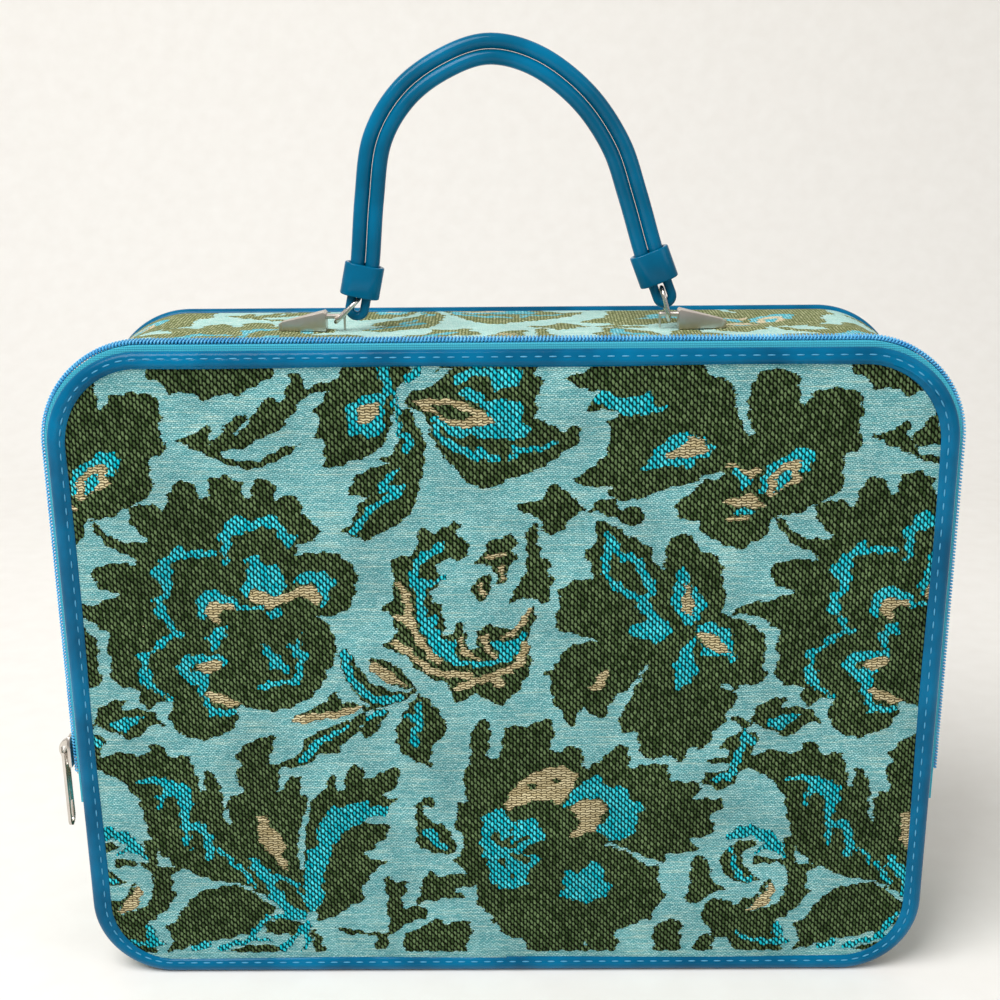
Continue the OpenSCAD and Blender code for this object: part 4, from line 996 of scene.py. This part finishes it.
def gusset_place(u, v, lift):
    x, z, out_x, out_z = around(u * gusset_run, *CASE)
    lower = z < FOLD
    rise = HEM_RISE * np.clip((z - FOLD) / FOLD_RAMP, 0, 1)
    hem = np.clip((v - BAND) / (1 - BAND), 0, 1)
    y_band = BACK_SEAM + (BAND_END - BACK_SEAM) * v / BAND
    y_high = np.where(v < BAND, y_band, BAND_END + (HEM_END - BAND_END) * hem)
    y_low = BACK_SEAM + (FRONT_SEAM - BACK_SEAM) * v
    y = np.where(lower, y_low, y_high)
    seam = np.clip(np.minimum(v, 1 - v) * SEAM_RAMP, 0, 1)
    dip = SLACK * np.sin(np.pi * np.clip(v / BAND, 0, 1)) ** 2 * np.abs(np.sin(y / SLACK_WAVE)) * ~lower
    off = np.where(lower, 0, rise * hem) - GUSSET_IN - dip + lift * seam
    return x + off * out_x, y, z + off * out_z


gusset = woven_cloth(
    "gusset_tapestry", round(gusset_run / WARP), round(GUSSET_D / ROW), GUSSET_D,
    lambda at: at * (-1, -1) + GUSSET_SHIFT, [-1, 0, 1], gusset_place,
)
face_outwards(gusset, (0, 0, -1))
dress(gusset, gusset_cloth, "tapestry", "case", "gusset")

# %% [markdown]
# The binding is a strip of vinyl folded over the edge of the board and sewn down to the face, so its
# section is a soft pillow that comes down to the cloth, with a dip where the stitches pull it in. A bevel
# would give one even round, so the section is drawn and carried round the outline instead. The vinyl
# puckers at every stitch, gathers a little in the corners and lies in loose folds at the top right.

# %% Vinyl binding
BIND = (372.0, 0, 287.0, 35.0, 40.0)
STITCH, SUNK = 5.8, 0.42
# section as distance in from the edge and distance out from the middle of the case
section = np.array(
    [(5.0, 52.2), (4.6, 50.0), (3.7, 49.0), (2.7, 48.6), (1.6, 48.85), (0.75, 49.5), (0.15, 50.5),
     (0.0, 51.4), (0.2, 52.2), (0.7, 52.9), (1.4, 53.45), (2.2, 53.9), (3.0, 54.2), (3.8, 54.38),
     (4.6, 54.38), (5.3, 54.2), (6.0, 53.9), (6.6, 53.6), (7.2, 53.25), (7.7, 52.95), (8.0, 52.7),
     (7.95, 52.6), (7.5, 52.5), (6.2, 52.4)]
)
FACING = slice(9, 21)
RIM, CREST = 52.7, 54.4
DIP, PUCKER, SEWN_WIDTH = 0.45, 0.14, 0.9
GATHER, LOOSE_FOLD, UNEVEN = 0.12, 0.42, 0.07
DRAWN_OUT, WANDER = 1.2, 0.3
SEWN_IN, SEWN_IN_LEFT, SEWN_OUT_TOP = 5.2, 0.7, 2.5
STRIP_FROM, EDGE_FROM, EASE = 1.5, 5, 3
BIND_COLUMNS = 1000
binding_run = length_round(*BIND)
stitches = round(binding_run / STITCH)


def sewing_line(out_x, out_z):
    """The stitches run nearer the cloth at the left side and nearer the outside along the top."""
    left, top = np.maximum(-out_x, 0), np.maximum(out_z, 0)
    return SEWN_IN + SEWN_IN_LEFT * left**2 - SEWN_OUT_TOP * top**2


def near_cloth(inward):
    """From 0 on the strip to 1 at its edge on the cloth."""
    return np.clip((inward - EDGE_FROM) / EASE, 0, 1)


def binding_place(side):
    def place(u, v):
        s = u * binding_run
        x, z, out_x, out_z = around(np.clip(s, 0, binding_run - 1e-6), *BIND)
        t = v * len(section)
        k = np.floor(t).astype(int)
        a, b = section[k % len(section)], section[(k + 1) % len(section)]
        inward, depth = (a + (b - a) * (t - k)[:, None]).T
        upper = depth > RIM
        sewn = np.exp(-(((inward - sewing_line(out_x, out_z)) / SEWN_WIDTH) ** 2)) * upper
        dip = sewn * (DIP - PUCKER * np.cos(u * stitches * 2 * np.pi))
        strip = np.clip((inward - STRIP_FROM) / EASE, 0, 1) * upper
        bend = np.abs(out_x * out_z) * 2
        gather = GATHER * bend * strip * np.sin(s * 1.35 + 2 * np.sin(s * 0.21))
        slack = np.clip(out_x + 0.3, 0, 1) * np.clip(out_z, 0, 1) * (side < 0)
        folds = LOOSE_FOLD * slack * upper * np.sin(inward * 3.1 + 0.9 * np.sin(s * 0.045) + s * 0.02)
        rough = UNEVEN * strip * (np.sin(s * 0.31) + np.sin(s * 0.173 + 1) + np.sin(s * 0.71 + inward))
        shift = DRAWN_OUT * out_z**2 - WANDER * np.sin(s * 0.043 + 1)
        inward = np.maximum(inward - near_cloth(inward) * shift, 0)
        depth = np.minimum(depth - dip + gather + folds + rough, CREST)
        return x - inward * out_x, side * depth, z - inward * out_z
    return place


bindings = {}
for name, side in (("front_binding_vinyl", -1), ("back_binding_vinyl", 1)):
    strip = shaped_grid(name, BIND_COLUMNS, len(section), binding_place(side))
    close_seams(strip, smooth_angle=60)
    bindings[side] = strip
dress(bindings[-1], vinyl, "vinyl", None, "front_binding", "flap_binding")
dress(bindings[1], vinyl, "vinyl", "case", "back_binding")

# %% [markdown]
# One stitch is a small lozenge of thread. It is modelled once from a sphere, pulled long and flat, and
# copied along the sewing line of each binding, half sunk in the dip.

# %% Stitches
STITCH_SHAPE = (1.7, 0.32, 0.3)
alone()
bpy.ops.mesh.primitive_uv_sphere_add(segments=8, ring_count=6, radius=1)
one_stitch = bpy.context.object
bpy.ops.object.mode_set(mode="EDIT")
bpy.ops.mesh.select_all(action="SELECT")
bpy.ops.transform.resize(value=STITCH_SHAPE)
bpy.ops.object.mode_set(mode="OBJECT")


def copies(name, model, places):
    """One mesh from copies of a model; a place is an origin in mm and three directions."""
    shape_mm = points_of(model)
    faces = [tuple(p.vertices) for p in model.data.polygons]
    rows, all_faces = [], []
    for n, (origin, axes) in enumerate(places):
        rows.append(origin + shape_mm @ axes)
        all_faces += [tuple(i + n * len(shape_mm) for i in f) for f in faces]
    mesh = bpy.data.meshes.new(name)
    mesh.from_pydata((np.concatenate(rows) * MM).tolist(), [], all_faces)
    piece = bpy.data.objects.new(name, mesh)
    bpy.context.scene.collection.objects.link(piece)
    close_seams(piece, smooth_angle=60)
    return piece


def sewn_row(side):
    s = (np.arange(stitches) + 0.5) * binding_run / stitches
    x, z, out_x, out_z = around(s, *BIND)
    for px, pz, nx, nz in zip(x, z, out_x, out_z):
        along = np.array([-nz, 0, nx])
        inward = sewing_line(nx, nz)
        inward -= near_cloth(inward) * DRAWN_OUT * nz**2
        depth = np.interp(inward, *section[FACING].T) - SUNK
        origin = np.array([px - inward * nx, side * depth, pz - inward * nz])
        yield origin, np.array([along, [nx, 0, nz], [0, side, 0]])


front_stitches = copies("front_binding_stitches", one_stitch, sewn_row(-1))
dress(front_stitches, thread_blue, "vinyl", None)
back_stitches = copies("back_binding_stitches", one_stitch, sewn_row(1))
dress(back_stitches, thread_blue, "vinyl", "case")
bpy.data.objects.remove(one_stitch)

# %% [markdown]
# A nylon zip is two flattened coils of wire whose loops lock into each other. Each coil here is a tube
# that winds along the zip line. Both wind in step, so a loop of one row reaches out where the other draws
# back. The rows are two pieces, because they part when the flap opens.

# %% Zip coils
ZIP = (380.0, 0, 291.0, 39.0, 44.0)
ZIP_Y, COIL_END, COIL_PITCH = -44.6, 98.0, 1.45
WIRE, COIL_DEPTH, COIL_RISE, COIL_REACH, LOOP_REACH = 0.36, 1.1, 0.72, 1.32, 0.12
ROW_OFF = 1.45
TURN_COLUMNS, WIRE_SIDES, NUDGE = 12, 5, 0.002
zip_start = ZIP[0] / 2 + COIL_END + (math.pi / 2 - 2) * ZIP[3]
zip_run = length_round(*ZIP) - 2 * zip_start
turns = round(zip_run / COIL_PITCH)


def coil_line(t, middle):
    """Middle of the wire after t turns, the way out there, and the angle of the turn."""
    a = 2 * math.pi * t
    x, z, out_x, out_z = around(zip_start + t * COIL_PITCH, *ZIP)
    lift = -COIL_DEPTH + COIL_RISE * np.sin(a)
    y = middle + COIL_REACH * np.cos(a) * (1 + LOOP_REACH * np.cos(a) ** 2)
    return np.stack([x + lift * out_x, y, z + lift * out_z], 1), np.stack([out_x, 0 * x, out_z], 1), a


def coil_place(middle):
    def place(u, v):
        t = u * turns
        centre, out, a = coil_line(t, middle)
        ahead = coil_line(t + NUDGE, middle)[0] - coil_line(t - NUDGE, middle)[0]
        ahead /= np.linalg.norm(ahead, axis=1)[:, None]
        radial = np.sin(a)[:, None] * out + np.cos(a)[:, None] * np.array([0, 1, 0])
        radial -= (radial * ahead).sum(1)[:, None] * ahead
        radial /= np.linalg.norm(radial, axis=1)[:, None]
        beside = np.cross(ahead, radial)
        w = v * 2 * math.pi
        return tuple((centre + WIRE * (np.cos(w)[:, None] * radial + np.sin(w)[:, None] * beside)).T)
    return place


for name, body, node, middle in (
    ("zip_coil_flap_row", "flap", "zip_coil_flap", ZIP_Y - ROW_OFF),
    ("zip_coil_case_row", "case", "zip_coil_case", ZIP_Y + ROW_OFF),
):
    coil = shaped_grid(name, turns * TURN_COLUMNS, WIRE_SIDES, coil_place(middle))
    close_seams(coil, smooth_angle=80)
    dress(coil, nylon, "zip_coil", body, node)

# %% [markdown]
# The handle is one stuffed vinyl tube, doubled: two runs side by side over the arch, and at each end a
# thin half turn through a wire ring. The line is a smooth curve through the same points as the solid's.

# %% Line of the handle
MOUNT_X, BAR_Z, RISE = 72.0, 291.9, 110.0
KEEPER_H = 14.0
UP_LEFT, UP_RIGHT = 12.5, 13.5
LINE_STEPS = 150
loop_left, loop_right = np.array([-62.65, 295.08]), np.array([69.97, 299.69])
lean_left, lean_right = math.radians(12), math.radians(21)
axis_left = np.array([math.sin(lean_left), math.cos(lean_left)])
axis_right = np.array([-math.sin(lean_right), math.cos(lean_right)])
# the arch as shares of the distance to a mount and of the rise
arch = [(-0.776, 0.45), (-0.72, 0.67), (-0.565, 0.835), (-0.335, 0.945), (-0.07, 1), (0.21, 0.955),
        (0.475, 0.825), (0.665, 0.65), (0.77, 0.46)]
route = np.array(
    [loop_left]
    + [loop_left + (UP_LEFT + half * KEEPER_H) * axis_left for half in (-0.5, 0.5)]
    + [(p * MOUNT_X, BAR_Z + q * RISE) for p, q in arch]
    + [loop_right + (UP_RIGHT + half * KEEPER_H) * axis_right for half in (0.5, -0.5)]
    + [loop_right]
)


def smooth_route(t):
    """A curve through the route's points, t from 0 to the last one."""
    i = np.clip(np.floor(t).astype(int), 0, len(route) - 2)
    a, b = route[np.maximum(i - 1, 0)], route[i]
    c, d = route[i + 1], route[np.minimum(i + 2, len(route) - 1)]
    f = (t - i)[:, None]
    return 0.5 * (2 * b + (c - a) * f + (2 * a - 5 * b + 4 * c - d) * f**2 + (3 * b - a - 3 * c + d) * f**3)


last = len(route) - 1
steps = np.linspace(0, last, LINE_STEPS)
line = smooth_route(steps)
heading = smooth_route(np.clip(steps + 0.01, 0, last)) - smooth_route(np.clip(steps - 0.01, 0, last))
heading[0], heading[-1] = axis_left, -axis_right
heading /= np.linalg.norm(heading, axis=1)[:, None]
beside = np.stack([-heading[:, 1], heading[:, 0]], 1)
print("handle rises to", round(line[:, 1].max(), 1), "mm")

# %% [markdown]
# The tube is thin in the half turns and swells to its full width under the keepers. Both runs and both
# half turns make one closed line, so a single grid wound round it has no open end. A shallow groove along
# it is the seam of the vinyl.

# %% Handle tube
TUBE_R, LOOP_R, RUN = 3.15, 2.0, 3.17
FILL_RATE, FILL_START = 2.2, 1.35
SEAM_DEPTH, SEAM_AT, SEAM_WIDTH = 0.035, 1.05, 0.16
SIDES, TURN_STEPS = 20, 14
above = np.minimum((line - loop_left) @ axis_left - UP_LEFT, (line - loop_right) @ axis_right - UP_RIGHT)
full = np.clip(FILL_RATE * above / KEEPER_H + FILL_START, 0, 1)
radius = LOOP_R + (TUBE_R - LOOP_R) * full**2 * (3 - 2 * full)
half_turn = np.linspace(0, math.pi, TURN_STEPS)[1:-1]


def end_turn(middle, onward):
    side = np.array([-onward[1], onward[0]])
    q = np.cos(half_turn)[:, None] * side + np.sin(half_turn)[:, None] * onward
    return middle + RUN * q, q, np.full(len(q), LOOP_R)


far, near = end_turn(line[-1], heading[-1]), end_turn(line[0], -heading[0])
tube_line = np.concatenate([line + RUN * beside, far[0], (line - RUN * beside)[::-1], near[0]])
tube_side = np.concatenate([beside, far[1], -beside[::-1], near[1]])
tube_r = np.concatenate([radius, far[2], radius[::-1], near[2]])


def tube_place(u, v):
    k = np.rint(u * len(tube_line)).astype(int) % len(tube_line)
    a = v * 2 * math.pi
    from_seam = (a - math.pi * SEAM_AT + math.pi) % (2 * math.pi) - math.pi
    r = tube_r[k] * (1 - SEAM_DEPTH * np.exp(-(from_seam / SEAM_WIDTH) ** 2))
    x, z = (tube_line[k] + (r * np.cos(a))[:, None] * tube_side[k]).T
    return x, r * np.sin(a), z


tube = shaped_grid("handle_tube_vinyl", len(tube_line), SIDES, tube_place)
close_seams(tube, smooth_angle=80)
dress(tube, handle_vinyl, "handle_vinyl", "handle", "handle_tube")

# %% [markdown]
# The small hardware is cut and cast metal, and its solids already have the right form. What they lack
# is the rounded edge of a tumbled casting, so each one is copied, its triangles are merged back into
# flat faces, and its sharp edges are bevelled.

# %% Metal and keepers with rounded edges
FLAT, SHARP, SMOOTH = (math.radians(a) for a in (1.5, 32, 45))


def eased_copy(node, name, edge_mm):
    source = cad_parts[node]
    piece = bpy.data.objects.new(name, source.data.copy())
    bpy.context.scene.collection.objects.link(piece)
    piece.data.name = name
    alone(piece)
    bpy.ops.object.mode_set(mode="EDIT")
    bpy.ops.mesh.select_all(action="SELECT")
    bpy.ops.mesh.remove_doubles(threshold=2 * MERGE)
    bpy.ops.mesh.dissolve_limited(angle_limit=FLAT)
    bpy.ops.mesh.normals_make_consistent(inside=False)
    bpy.ops.object.mode_set(mode="OBJECT")
    bevel = piece.modifiers.new("eased_edges", "BEVEL")
    bevel.width, bevel.segments = edge_mm * MM, 3
    bevel.limit_method, bevel.angle_limit = "ANGLE", SHARP
    bevel.harden_normals = False
    bpy.ops.object.modifier_apply(modifier=bevel.name)
    bpy.ops.object.shade_smooth_by_angle(angle=SMOOTH)
    return piece


for node, name, edge, slot, finish, body in (
    ("mount_left", "claw_left", 0.5, "nickel", satin_nickel, "case"),
    ("mount_right", "claw_right", 0.5, "nickel", satin_nickel, "case"),
    ("zip_slider", "slider_casting", 0.3, "nickel", nickel, "slider"),
    ("zip_pull", "pull_casting", 0.25, "nickel", nickel, "pull"),
    ("keeper_left", "keeper_band_left", 0.6, "handle_vinyl", handle_vinyl, "handle"),
    ("keeper_right", "keeper_band_right", 0.6, "handle_vinyl", handle_vinyl, "handle"),
    ("ring_left", "wire_ring_left", 0.05, "nickel", nickel, "handle"),
    ("ring_right", "wire_ring_right", 0.05, "nickel", nickel, "handle"),
    ("zip_stops", "zip_end_stops", 0.3, "nickel", nickel, "case"),
):
    dress(eased_copy(node, name, edge), finish, slot, body, node)

# %% [markdown]
# Inside, the lining, boards, plates and zip tapes are plain flat pieces whose solids are right as they
# are, so they only get their finishes.

# %% Finishes of the solids that stay
for finish, *nodes in (
    (lining_cloth, "lining", "flap_lining"),
    (greyboard, "back_board", "front_board", "flap_board"),
    (tape_cloth, "zip_tape_case", "zip_tape_flap"),
    (nickel, "mount_plate_left", "mount_plate_right"),
):
    for node in nodes:
        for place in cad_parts[node].material_slots:
            place.material = finish
    print(finish.name, "on", nodes)

# %% [markdown]
# The stage is a pale sheet that runs level under the case and curves up behind it. One large soft lamp
# stands high at the front left, a weaker one at the right, and the world fills the shadows.

# %% Floor and backdrop
FLOOR_START, FLOOR_RUN, BEND_R, WALL_H, FLOOR_W = -5000, 5700.0, 500.0, 1500, 6000
FLOOR_GAP = 0.2
paper, tree, shader = new_material("matte_backdrop_paper", Roughness=0.95, Specular_IOR_Level=0.1)
fibre = noise(tree, object_place(tree), 60.0, 2.0)["Fac"]
tree.links.new(blended(tree, fibre, colour("#ece9e4"), colour("#f3f1ed")), shader.inputs["Base Color"])


def stage_place(u, v):
    run = v * (FLOOR_RUN + BEND_R * math.pi / 2 + WALL_H)
    a = np.clip((run - FLOOR_RUN) / BEND_R, 0, math.pi / 2)
    y = np.minimum(run, FLOOR_RUN) + BEND_R * np.sin(a) + FLOOR_START
    z = BEND_R * (1 - np.cos(a)) + np.maximum(run - FLOOR_RUN - BEND_R * math.pi / 2, 0)
    return (u - 0.5) * FLOOR_W, y, z - FLOOR_GAP


floor = shaped_grid("studio_floor", 2, 160, stage_place)
floor.data.materials.append(paper)
alone(floor)
bpy.ops.object.shade_smooth()
face_outwards(floor, (0, 0, 1))
print("floor", len(floor.data.polygons), "faces")

# %% Lamps and world
AIM = Vector((0, 0, 0.15))
for name, place, size, power in (
    ("key_softbox", (-0.75, -0.85, 1.75), 1.2, 40), ("fill_softbox", (1.3, -0.9, 1.0), 1.0, 4),
):
    alone()
    bpy.ops.object.light_add(type="AREA", location=place)
    lamp = bpy.context.object
    lamp.name = name
    lamp.data.size, lamp.data.energy = size, power
    lamp.rotation_mode = "QUATERNION"
    lamp.rotation_quaternion = (AIM - lamp.location).to_track_quat("-Z", "Y")
    print(name, power, "W")

world = bpy.context.scene.world or bpy.data.worlds.new("studio")
bpy.context.scene.world = world
world.use_nodes = True
sky = world.node_tree.nodes["Background"].inputs
sky["Color"].default_value = colour("#fbf9f6")
sky["Strength"].default_value = 0.42
